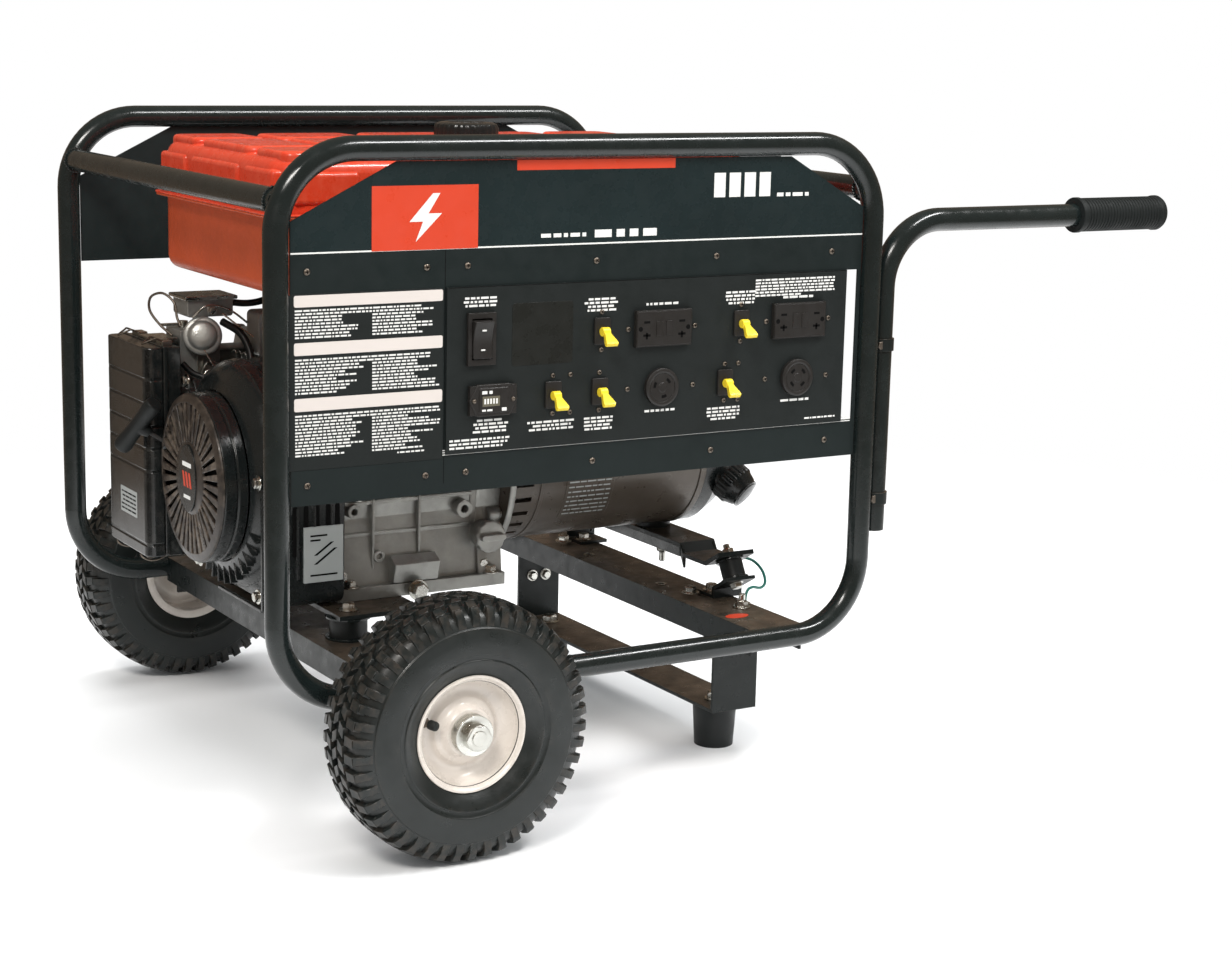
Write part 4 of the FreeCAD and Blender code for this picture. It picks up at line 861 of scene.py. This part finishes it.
def fan_shroud():
    """The blower housing: a drum with a square toe, ribbed round the recoil disc."""
    cy, cz = SHAFT
    outline = [(cy, cz - 128)] + arc(cy - 112, cz - 114, 14, 270, 180, 6)
    outline += arc(cy, cz, 128, 180, -90, 60)[:-1]
    shape = Shape().prism(outline, 84, 159.9, "x")
    flare = [(95.3, 0.4), (99, 0.6), (106, 2.6), (114, 6.4), (121, 12), (126, 19), (128, 26), (128.6, 30),
        (129.4, 31), (129.4, 35), (128, 36), (128, 58), (129.4, 59), (129.4, 63), (128, 64), (96, 64)]
    shape.lathe(flare, (BLOWER_X, cy, cz), X, 96)
    for k in range(40):
        angle = 9 * k
        if not 60 < angle < 200:
            shape.at(BLOWER_X, cy, cz, about_x(angle))
            shape.prism([(101, -1.2), (121, -1.6), (121, 1.6), (101, 1.2)], 0.6, 9, "x")
    shape.at()
    for x in (84, 104, 124, 144):
        shape.block((x - 1.5, cy - 129.4, 236), (x + 1.5, cy - 126, 316))
    shape.block((62.4, cy - 128.6, 205), (66.2, cy - 124, 331))
    shape.block((62.2, cy - 124.2, 203.4), (66.2, cy, 207.2))
    shape.done("blower_housing", "shroud", bevel=1, stands_for=("fan_housing",), slot="shroud_black")
    # The side slots are near-black slabs on the drum: painted shade in the openings.
    slots = Shape()
    for x in (101, 114, 127, 140, 151):
        slots.slab(x - 2.6, 262, x + 2.6, 318, 2.5, cy - 128.4, cy - 127.2)
    slots.done("blower_slot_shade", "dark_ink_and_shade", bevel=0.3)
    bolts = Shape()
    for y, z in ((cy - 112, cz + 12), (cy + 96, cz + 92), (cy - 110, 218), (cy + 60, 224)):
        bolts.bolt((66, y, z), -X, 10, 5, 8.5)
    bolts.done("blower_bolts", "zinc", bevel=0.2)
    decal, bars = Shape(), Shape()
    face = cy - 126
    decal.block((111, face - 3.9, 232), (157, face, 294))
    decal.done("side_decal", "silver", bevel=0.3)
    for low, high, z in ((118, 138, 284), (118, 130, 279), (118, 150, 240)):
        bars.block((low, face - 4, z - 1), (high, face - 3.8, z + 1))
    for low, high, reach in ((262, 276, 142), (252, 269, 146)):
        slant = [(122, low), (126, low), (reach + 4, high), (reach, high)]
        bars.prism(slant, face - 4, face - 3.8)
    bars.done("side_decal_bars", "dark_ink_and_shade")


def air_box():
    """Cover and case of the air cleaner, with its grooves, bails and plate."""
    x0, y0, z0 = corners("air_cleaner_cover")[0]
    x1, y1, z1 = corners("air_cleaner_case")[1]
    split = corners("air_cleaner_cover")[1].x
    radius = 11
    outline = [(split, y1)]
    for cx, cy, start in ((x0 + radius, y1 - radius, 90), (x0 + radius, y0 + radius, 180)):
        outline += arc(cx, cy, radius, start, start + 90, 6)
    outline.append((split, y0))
    core = [(min(max(x, x0 + 1.4), split), min(max(y, y0 + 1.4), y1 - 1.4)) for x, y in outline]
    levels = (z0, 236, 322, 348, 374, 400, 428, z1)
    cover = Shape()
    for low, high in zip(levels, levels[1:]):
        cover.prism(outline, low + 0.9, high - 0.9, "z")
    cover.prism(core, z0 + 1.5, z1 - 1.5, "z")
    cover.block((x0 + 1, 470, 330), (x0 + 5, 487, 392))
    cover.done("air_box_cover", "gloss", bevel=1.5, stands_for=("air_cleaner_cover",), slot="shroud_black",
        segments=3)
    case = Shape()
    case.block((split + 0.6, y0 + 0.6, z0 + 1), (x1, y1 - 0.6, z1 - 1))
    case.block((split + 0.2, y0 - 2.2, z0 + 3), (split + 5, y1 + 2.2, z1 + 0.4))
    for z in (270, 330, 390):
        case.block((split + 6, y0 - 1, z - 2), (x1 - 1, y0 + 1, z + 2))
    case.done("air_box_case", "gloss", bevel=1.8, stands_for=("air_cleaner_case",), slot="shroud_black",
        segments=3)
    plate, print_ = Shape(), Shape()
    plate.block((x0 - 0.5, 446, 262), (x0 + 1.6, 500, 292))
    plate.done("air_box_plate", "silver", bevel=0.2)
    for row in range(5):
        z = 286.5 - 5 * row
        y = 449
        while y < 492:
            wide = rng.uniform(4, 14)
            print_.block((x0 - 0.62, y, z - 1), (x0 - 0.45, min(y + wide, 497), z + 1))
            y += wide + 2
    print_.done("air_box_plate_lines", "dark_ink_and_shade")
    wires = Shape()
    for y in (438, 518):
        wires.wire([(x1 - 8, y - 8, z1 + 0.5), (x1 - 22, y - 8, z1 + 7), (x0 + 16, y - 6, z1 + 6),
            (x0 + 6, y, z1 + 1), (x0 + 16, y + 6, z1 + 6), (x1 - 22, y + 8, z1 + 7),
            (x1 - 8, y + 8, z1 + 0.5)], 1.1)
        wires.wire([(x1 - 8, y - 8, z0 - 0.5), (x0 + 14, y - 7, z0 - 7), (x0 + 2, y, z0 - 3),
            (x0 + 4, y + 4, z0 + 5), (x0 + 14, y + 7, z0 - 7), (x1 - 8, y + 8, z0 - 0.5)], 1.1)
    wires.wire([(70, 470, z1 + 4), (60, 484, z1 + 16), (52, 494, z1 + 32), (54, 494, z1 + 47),
        (64, 482, z1 + 52), (73, 470, z1 + 42), (74, 464, z1 + 26), (76, 458, z1 + 16)], 1.5)
    wires.done("air_box_bails", "dark_steel")
    clips = Shape()
    for y in (438, 518):
        clips.block((x1 - 16, y - 10, z1 - 1), (x1 - 4, y + 10, z1 + 4.5))
    clips.done("bail_clips", "zinc", bevel=0.6)


def starter():
    centre = EXIT + PULL * 36
    side = PULL.cross(GRIP_BAR).normalized()
    turn = Matrix((side, PULL, GRIP_BAR)).transposed()
    grip = Shape().at(*centre, turn)
    sections = [(-39, 6, 7), (-37.5, 9, 9.6), (-31, 10.6, 10.8), (-18, 9.6, 9.6), (0, 9, 9.2),
        (18, 9.6, 9.6), (31, 10.6, 10.8), (37.5, 9, 9.6), (39, 6, 7)]
    grip.loft([[(*spot, level) for spot in oval(0, 0, wide, deep, 24)] for level, wide, deep in sections])
    grip.at()
    grip.lathe([(3, -16), (5.6, -16), (6.6, -13), (9, -3), (9, 0), (0, 0), (0, -6), (3, -6)], centre, PULL,
        32, closed=False)
    grip.done("pull_grip", "rubber", "recoil_grip", 0.5, ("recoil_grip",), "rubber")
    rope = Shape()
    start, reach, count = EXIT - PULL * 8, 30, 20
    route = [start + PULL * (reach * k / count) for k in range(count + 1)]
    rope.wire(route, 2.2, 12, smooth=False)
    piece = rope.done("pull_rope", "rope", slot="rope")
    piece.parent = None
    del piece["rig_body"]
    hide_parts("starter_rope")
    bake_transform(piece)


def crankcase_details():
    cy, cz = SHAFT
    shape = Shape()
    low_front = cy - 110
    shape.block((162, low_front - 1.5, 200.2), (367, low_front + 8, 215))
    shape.prism([(low_front + 2, 214), (low_front + 16, 290), (low_front + 38, 290), (low_front + 24, 214)],
        336, 348, "x")
    shape.prism([(cy - 101.5, 216), (cy - 95, cz - 42), (cy - 99.5, cz - 2), (cy - 90, cz + 24),
        (cy - 60, cz + 60), (cy - 60, 216)], 330, 338, "x")
    for x, y, z, radius, reach in ((196, cy - 92, 372, 11, 14), (238, cy - 96, 352, 7.5, 12),
            (278, cy - 90, 378, 12.5, 16), (312, cy - 97, 340, 8.5, 11), (182, cy - 97, 300, 8, 8),
            (318, cy - 95, 292, 10, 12), (214, cy - 93, 246, 7, 9)):
        shape.ring((x, y + 6, z), -Y, radius * 0.45, radius, reach + 6, 32)
    for z, y in ((272, cy - 96), (308, cy - 98.5), (340, cy - 97)):
        shape.block((172, y - 1.8, z - 2.2), (330, y + 6, z + 2.2))
    for x in (205, 262):
        shape.prism([(cy - 99, 216), (cy - 101.5, 250), (cy - 103, 330), (cy - 90, 360), (cy - 80, 360),
            (cy - 80, 216)], x, x + 3, "x")
    shape.drum((225, cy - 96, 392), X, 13, 96, 32, 1.5)
    shape.drum((176, cy - 92, 350), X, 9, 70, 32, 1.5)
    shape.prism([(cy - 112, 216), (cy - 92, 216), (cy - 92, 240), (cy - 104, 246), (cy - 118, 238)], 226,
        282, "x")
    seats = [(cy + 112 * cos(a), cz + 96 * sin(a)) for a in (radians(52 + 40 * k) for k in range(9))]
    for y, z in seats:
        shape.drum((352, y, z), X, 8, 15, 24, 1)
    shape.done("crankcase_bosses", "cast", bevel=1.6, segments=3)
    bolts = Shape()
    for x in (176, 352):
        bolts.bolt((x, low_front + 4, 215), Z, 12, 7, 10)
    bolts.bolt((254, low_front - 8.2, 207.5), -Y, 17, 9, 12)
    for x, z in ((168, 226), (344, 226), (190, 318)):
        bolts.bolt((x, cy - 99, z), -Y, 10, 6, 8)
    for y, z in seats:
        bolts.bolt((367, y, z), X, *M6)
    bolts.done("crankcase_bolts", "zinc", bevel=0.25)
    cap = Shape().at(345, cy - 112.2, cz - 72)
    cap.lathe([(0, 0), (18, 0), (19, 1), (19, 8), (17, 9.4), (0, 9.6)], (0, 0, 0), -Y, 72, closed=False,
        ripple=ridges(0.9, 6, 3, 17.5))
    cap.slab(-15.5, -3.6, 15.5, 3.6, 3.4, -17, -9)
    cap.at().done("oil_cap", "cast", "oil_filler_cap", 0.7, ("oil_filler_cap",), "shroud_black")


def governor():
    """Control linkage, float bowl parts and clamps around the carburettor."""
    cast, zinc, black = Shape(), Shape(), Shape()
    cast.slab(74, 396, 122, 474, 5, 456, 498)
    cast.lathe([(0, 0), (20, 0), (21.5, 3), (21.5, 20), (17, 27), (0, 28)], (98, 478, 420), -Z, 48,
        closed=False)
    cast.lathe([(0, 0), (21, 0), (22.5, 1.5), (22.5, 5), (20, 6.5), (17, 6.8), (15.5, 9.5), (12.5, 11.5),
        (6, 12), (0, 12)], (98, 446, 470), Vector((-0.35, -0.9, 0.25)), 48, closed=False)
    cast.slab(80, 492, 136, 514, 4, 446, 492)
    cast.slab(150, 448, 196, 500, 6, 404, 440)
    cast.lathe([(0, 0), (14, 0), (15, 2), (15, 10), (12, 12), (0, 12)], (173, 404, 474), -Y, 40,
        closed=False)
    cast.done("carburettor_casting", "cast", bevel=1.5, segments=3)
    zinc.slab(76, 512, 140, 516.5, 1.5, 442, 496)
    zinc.prism([(96, 404), (120, 404), (120, 430), (114, 440), (102, 440), (96, 430)], 443, 445.5)
    zinc.ring((108, 445.8, 420), -Y, 6.5, 11.5, 3.4)
    zinc.wire([(88, 440, 470), (104, 432, 440), (118, 430, 420), (132, 434, 410)], 1.2)
    zinc.wire([(120, 440, 496), (150, 420, 470), (178, 402, 452), (196, 396, 446)], 1.1)
    zinc.wire([(84, 441, 492), (100, 436, 506), (128, 438, 500), (150, 436, 484)], 1.3)
    spring = [(128 + 1.7 * k * 0.9, 428 + 3.4 * cos(k * 1.57),
        452 - k * 0.5 + 3.4 * sin(k * 1.57)) for k in range(36)]
    zinc.wire(spring, 0.7, 6)
    zinc.block((40, 452, 466), (70, 500, 468.5))
    zinc.bolt((108, 441.8, 500), -Y, 8, 4, 6)
    zinc.bolt((173, 392, 474), -Y, 9, 5, 7)
    zinc.done("governor_linkage", "zinc", bevel=0.3)
    black.lathe([(0, 0), (7, 0), (7.5, 2), (7.5, 16), (5, 19), (0, 19)], (195, 430, 531), Z, 32,
        closed=False)
    black.slab(58, 404, 72, 462, 3, 456, 520)
    black.wire([(122, 446, 486), (136, 424, 474), (142, 410, 452), (138, 402, 428), (128, 398, 408)], 4.5,
        16)
    black.wire([(72, 444, 440), (84, 436, 428), (104, 426, 424), (134, 418, 434), (164, 410, 448)], 3.6, 16)
    black.drum((140, 432, 400), Vector((0.2, -1, 0.1)), 15, 16, 36, 2)
    black.done("intake_rubber", "hose", bevel=0.4)


def engine_back():
    """What shows from behind: plug and lead, muffler guard and head bolts."""
    lean = about_x(-65)
    top = Shape().at(212, SHAFT[0], SHAFT[1], lean)
    for x in (-38, 38):
        for y in (-34, 34):
            top.bolt((x, y, 240.2), Z, 10, 5.5, 8)
    top.at().done("valve_cover_bolts", "zinc", bevel=0.25)
    low, high = corners("muffler")
    guard, dark = Shape(), Shape()
    guard.block((low.x + 7, high.y - 1, low.z + 4), (high.x - 3, high.y + 2.5, high.z - 4))
    guard.block((low.x + 7, low.y + 10, high.z - 2), (high.x - 3, high.y + 2, high.z + 2.5))
    guard.done("muffler_guard", "dark_steel", bevel=1.2)
    # The louvres are near-black slabs on the guard: painted shade in the openings.
    for row in range(9):
        z = low.z + 16 + 11 * row
        for left in (0, 42):
            dark.slab(low.x + 14 + left, z - 2.4, low.x + 48 + left, z + 2.4, 2.2, high.y + 2.3,
                high.y + 2.7)
    dark.done("muffler_louvre_shade", "dark_ink_and_shade")
    lead = Shape()
    lead.wire([(206, 548, 400), (196, 566, 392), (170, 566, 372), (150, 520, 352), (146, 470, 340),
        (150, 440, 330)], 3.4, 16)
    lead.lathe([(0, 0), (8, 0), (8.6, 4), (7.4, 18), (5, 24), (0, 25)], (212, 534, 404),
        Vector((-0.35, 0.9, -0.2)), 32, closed=False)
    lead.done("spark_plug_lead", "hose")


# ---------------------------------------------------------------- tank


def tank():
    low, high = corners("fuel_tank")
    bottom, seam, shoulder = 549.5, 635, 694
    left, right, front, back = low.x + 11, high.x - 11, low.y + 11, high.y - 11
    body = (left, front, right, back, 34)
    # The lower half and the underside of the seam take the darker red: painted shade.
    lower = Shape().slab(*body, bottom, seam + 14, "z", 8)
    lower.done("tank_lower_half", "tank_low", bevel=15, segments=6, slot="tank_red")
    under = Shape().slab(low.x, low.y, high.x, high.y, 38, seam - 2.2, seam - 0.1, "z", 8)
    under.done("tank_seam_under", "tank_low", bevel=0.8, slot="tank_red")
    upper = Shape().slab(*body, seam - 12, shoulder, "z", 8)
    upper.done("tank_upper_half", "tank", bevel=16, stands_for=("fuel_tank",), slot="tank_red", segments=6)
    lip = Shape().slab(low.x, low.y, high.x, high.y, 34, seam + 0.1, seam + 2.2, "z", 6)
    lip.done("tank_seam_lip", "tank", bevel=0.8, slot="tank_red")
    pads = Shape()
    cap_x, cap_y = 363, 302
    lanes = ((front + 9, front + 92), (front + 104, back - 104), (back - 92, back - 9))
    for x0, x1 in ((left + 10, left + 96), (left + 112, left + 222), (left + 366, left + 476),
            (left + 492, right - 10)):
        for y0, y1 in lanes:
            pads.slab(x0, y0, x1, y1, 14, 680, 700.5, "z", 4)
    for y0, y1 in (lanes[0], lanes[2]):
        pads.slab(left + 238, y0, left + 350, y1, 14, 680, 700.5, "z", 4)
    for y0, y1 in lanes:
        pads.slab(left - 3, y0 + 3, left + 30, y1 - 3, 5, 646, 682, "z", 4)
        pads.slab(right - 30, y0 + 3, right + 3, y1 - 3, 5, 646, 682, "z", 4)
    for x0, x1 in ((left + 16, left + 90), (left + 116, left + 218), (left + 242, left + 346),
            (left + 370, left + 472), (left + 496, right - 16)):
        pads.slab(x0, front - 3, x1, front + 26, 5, 646, 680, "z", 4)
        pads.slab(x0, back - 26, x1, back + 3, 5, 646, 680, "z", 4)
    pads.done("tank_pads", "tank", bevel=5.5, segments=5, slot="tank_red")
    neck = Shape().ring((cap_x, cap_y, shoulder - 2), Z, 28.2, 31, 19.8, 64)
    neck.lathe([(31, 0), (44, 0), (43, 4), (36, 8.5), (31, 9)], (cap_x, cap_y, shoulder - 2), Z, 64)
    neck.done("tank_neck", "tank", bevel=0.5, slot="tank_red")
    cap = [(31.7, 1), (36.4, 1), (37, 2), (37, 14), (35.2, 18.4), (31, 20.2), (22, 20.9), (20.5, 19.6),
        (0, 19.4), (0, 11.4), (31.7, 11.4)]
    top = Shape().lathe(cap, (cap_x, cap_y, 701), Z, 144, closed=False, ripple=ridges(0.9, 6, 2, 34))
    top.slab(cap_x - 19, cap_y - 3, cap_x + 19, cap_y + 3, 2.8, 720, 721.8, "z")
    top.done("tank_cap", "shroud", "fuel_cap", 0.4, ("fuel_cap",), "shroud_black")
    bolts = Shape()
    for x in (165, 575):
        for y in (20, 600):
            bolts.bolt((x, y, 549.1), Z, 13, 7, 10)
    bolts.done("tank_rail_bolts", "zinc", bevel=0.25)


# ---------------------------------------------------------------- alternator and frame details

BARREL_R = 102.8
HANDLE_Y = (10, 610.3)
ARM_Z, ARM_DROP = 624.6, 46


def alternator_details():
    cy, cz = SHAFT
    plate, lines = Shape(), Shape()
    plate.prism(arc(cy, cz, 103.5, 186, 222, 16) + arc(cy, cz, BARREL_R, 222, 186, 16), 455, 520, "x")
    plate.done("barrel_plate", "barrel", bevel=0.15)
    for row in range(9):
        angle = 189 + 3.6 * row
        x = 459
        while x < 512:
            wide = rng.uniform(3, 13)
            first, last = angle - 0.45, angle + 0.45
            ring = arc(cy, cz, 103.75, first, last, 2) + arc(cy, cz, 103.3, last, first, 2)
            lines.prism(ring, x, min(x + wide, 516), "x")
            x += wide + 1.8
    lines.done("barrel_plate_lines", "silver")
    bands = Shape()
    for x, radius, wide, slope in ((420, 104.2, 5, 0.4), (640.5, 104.4, 8, 0.5)):
        bands.lathe([(102.9, 0), (radius, slope), (radius, wide), (102.9, wide + slope)], (x, cy, cz), X,
            96)
    bands.done("barrel_bands", "barrel", bevel=0.3)
    edge = Shape().lathe([(121, 0), (122.4, 0), (123, 0.8), (123, 7.2), (122.4, 8), (121, 8)],
        (369, cy, cz), X, 128)
    edge.done("adapter_flange_edge", "cast")
    bolts = Shape()
    for angle in (45, 135, 225, 315):
        a = radians(angle)
        bolts.bolt((377.2, cy + 112.5 * cos(a), cz + 112.5 * sin(a)), X, *M6)
        bolts.bolt((688.2, cy + 80 * cos(a), cz + 80 * sin(a)), X, 8, 5, 6.5)
    bolts.done("alternator_bolts", "zinc", bevel=0.25)
    # The vents are thin near-black bars on the end cover: painted shade in the openings.
    vents = Shape()
    for k in range(-4, 5):
        half = sqrt(max(0, 58 ** 2 - (11 * k) ** 2))
        vents.block((701.6, cy - half, cz + 11 * k - 2.2), (702.2, cy + half, cz + 11 * k + 2.2))
    vents.done("end_cover_vent_shade", "dark_ink_and_shade")
    outlet = Vector((0.42, -0.72, -0.55)).normalized()
    start = Vector((672, 246, 312)) + outlet * 30
    collar = Shape()
    collar.lathe([(19.1, 0), (24, 0), (25.5, 2), (25.5, 16), (23.5, 18.5), (20.5, 27), (16, 33), (10, 34.5),
        (0, 34.5), (0, 31.5), (19.1, 31.5)], start, outlet, 120, closed=False,
        ripple=ridges(1.1, 5, 2, 23.8))
    collar.done("wire_outlet_nut", "shroud", bevel=0.3)


def mount_hardware():
    """Bolts, studs, washers and plates on the rubber mounts, channels and stand."""
    middle = SHAFT[0]
    bolts, plates, sticker = Shape(), Shape(), Shape()
    for side in (-1, 1):
        low = Vector((638, middle + side * 186.5, 192.2))
        axis = Vector((0, -side * sin(radians(30)), cos(radians(30))))
        bolts.bolt(low + axis * 30.8, axis, *M8)
        bolts.drum(low + axis * 37, axis, 3.8, 8, 20, 0.8)
        bolts.bolt(low - axis * 2.6, -axis, 13, 6, 9.5)
        for x in (598, 628):
            bolts.bolt((x, middle + side * 152, 173.6), Z, *M8)
        bolts.bolt((624, middle + side * 222, 169.6), Z, *M8)
        bolts.drum((624, middle + side * 222, 177), Z, 3.9, 9, 20, 0.8)
        for lift in (0.4, 23.4):
            plates.lathe([(4.2, 0), (16.8, 0), (16.8, 2.2), (4.2, 2.2)], low + axis * lift, axis, 40)
    for y in (175, 457):
        bolts.bolt((158, y, 200.1), Z, *M8)
        for z in (169.6, 192.5):
            plates.lathe([(5.1, 0), (25.5, 0), (25.5, 2.4), (5.1, 2.4)], (158, y, z), Z, 48)
    skirts = Shape()
    for x in (613.2, 658.8):
        for near, far in ((-104, -111), (104, 111)):
            steps = [(middle + near, 222), (middle + far, 208)]
            skirts.prism([(y, z - 15) for y, z in steps] + [(y, z - 0.6) for y, z in reversed(steps)], x,
                x + 4, "x")
        skirts.prism([(213.5, 205.5), (418.5, 205.5), (418.5, 218.4), (213.5, 218.4)], x, x + 4, "x")
    skirts.done("foot_bracket_skirts", "frame", bevel=0.8)
    bolts.bolt((632, 282, 205.2), -Z, 13, 9, 0)
    bolts.drum((632, 282, 196.2), -Z, 4, 12, 20, 0.8)
    for x in (598, 618):
        bolts.bolt((x, 548.9, 110), -Y, 10, 5, 8)
    for y in (118, 515):
        bolts.bolt((606.5, y, 54.1), Z, 17, 8, 12.5)
    for x, y in ((598, 230), (598, 402)):
        bolts.ring((x, y, 169.5), Z, 4.4, 7, 1)
    bolts.done("mount_bolts", "zinc", bevel=0.25)
    plates.done("mount_washers", "frame", bevel=0.3)
    sticker.prism(oval(596, 62, 15, 8.5, 32), 169.45, 169.75, "z")
    sticker.done("channel_sticker", "orange")
    studs = Shape()
    for z in (306, 484):
        for y, out in zip(HANDLE_Y, (-1, 1)):
            studs.bolt((737, y + 8.2 * out, z + 1), Y * out, 9, 4, 6)
    studs.done("handle_ring_bolts", "dark_steel", bevel=0.2)


def welds():
    """Weld beads where crossbars and channels meet the loops."""
    shape = Shape()
    for x in (6, 711.8):
        for y, out in ((12.2, 1), (608.1, -1)):
            for spot_x, spot_z in oval(x, 662.6, 13.2, 13.2, 24):
                shape.drum((spot_x, y + out * 0.6 - 1.2, spot_z), Y, 1.9 + 0.3 * rng.random(), 2.6, 10, 0.8)
    for x0, x1 in ((117, 175), (576, 642)):
        for y in (9, 611.3):
            for k in range(int((x1 - x0) / 2.6)):
                shape.drum((x0 + 2.6 * k, y, 167.3), X, 1.9 + 0.3 * rng.random(), 2.8, 10, 0.8)
    shape.done("weld_beads", "frame")


def grips():
    for side, y, z, axis in (("front", HANDLE_Y[0], ARM_Z, X), ("rear", HANDLE_Y[1], ARM_Z - ARM_DROP, -Y)):
        profile = [(13.4, 280), (20.4, 280), (21, 280.8), (21, 285.4), (20, 286.4)]
        for k in range(25):
            level = 289 + 4.6 * k
            profile += [(20, level), (18.9, level + 0.7), (18.9, level + 1.5), (20, level + 2.2)]
        profile += [(20, 404.4), (21, 405.6), (21, 410), (19.4, 413), (15.5, 414), (0, 414), (0, 410),
            (13.4, 410)]
        shape = Shape().lathe(profile, (745, y, z), axis, 72, closed=False)
        shape.done(f"{side}_ribbed_grip", "grip", f"{side}_handle", 0, (f"{side}_grip",), "rubber")


# ---------------------------------------------------------------- hose and wire

FUEL_HOSE = ((195, 430, 549), (195, 430, 530), (181, 435, 513), (156, 443, 505), (129, 453, 508),
    (105, 461, 500), (105, 461, 476))
GROUND_WIRE = ((663, 165, 209.4), (680, 165, 209.4), (690, 150, 198), (685, 132, 184), (668, 119, 181),
    (650, 111, 188), (637, 106, 184), (637, 106, 169.5))


def held_cord(name, points, radius, material, node):
    curve = bpy.data.curves.new(name, "CURVE")
    curve.dimensions = "3D"
    curve.bevel_depth = radius * MM
    curve.bevel_resolution = 5
    curve.use_fill_caps = True
    curve.resolution_u = 14
    spline = curve.splines.new("NURBS")
    spline.points.add(len(points) - 1)
    for point, spot in zip(spline.points, points):
        point.co = (*place(*spot), 1)
    spline.use_endpoint_u = True
    spline.order_u = 3
    curve.materials.append(M[material])
    obj = bpy.data.objects.new(name, curve)
    bpy.context.scene.collection.objects.link(obj)
    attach(obj, "chassis")
    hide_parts(node)


def hose_and_wire():
    held_cord("fuel_line", FUEL_HOSE, 4, "hose", "fuel_hose")
    held_cord("ground_lead", GROUND_WIRE, 1.7, "green", "ground_wire")
    clips = Shape()
    for centre, axis in (((195, 430, 534), Z), ((105, 461, 480), Z)):
        clips.ring(centre, axis, 4.1, 5.6, 6, 32)
        clips.block((centre[0] - 9, centre[1] - 1.5, centre[2] + 1), (centre[0] - 5, centre[1] + 1.5,
            centre[2] + 5))
    clips.lathe([(2, 0), (6.5, 0), (6.5, 1.4), (2, 1.4)], (637, 106, 169.6), Z, 32)
    clips.done("hose_clips", "zinc", bevel=0.25)


# ---------------------------------------------------------------- put together

give("frame", "front_loop", "rear_loop", "top_crossbars", "front_handle", "rear_handle")
give("channel", "engine_channel", "alternator_channel", "stand", "foot_bracket", "brackets")
give("rubber", "rubber_mounts")
give("zinc", "axle", "fasteners", "throttle_lever", "choke_lever")
give("panel", "front_panel", "rear_panel", "control_box")
give("control", "control_panel")
give("device", "circuit_breakers", "receptacles", "instrument_cases", "test_button_1", "reset_button_1",
    "test_button_2", "reset_button_2")
give("cast", "crankcase", "cylinder_head", "carburettor")
give("barrel", "alternator_adapter", "stator_barrel")
give("shroud", "end_cover")
give("steel", "crankshaft", "flywheel", "rotor")
give("dark_steel", "muffler")

camera()
studio()
for side, centre, out in WHEELS:
    wheel(side, centre, out)
for build in (axle_ends, panel_print, label_plate, screws, outlets, meter_and_rocker, toggles, ribbed_disc,
        fan_shroud, air_box, starter, crankcase_details, governor, engine_back, tank, alternator_details,
        mount_hardware, welds, grips, hose_and_wire):
    build()
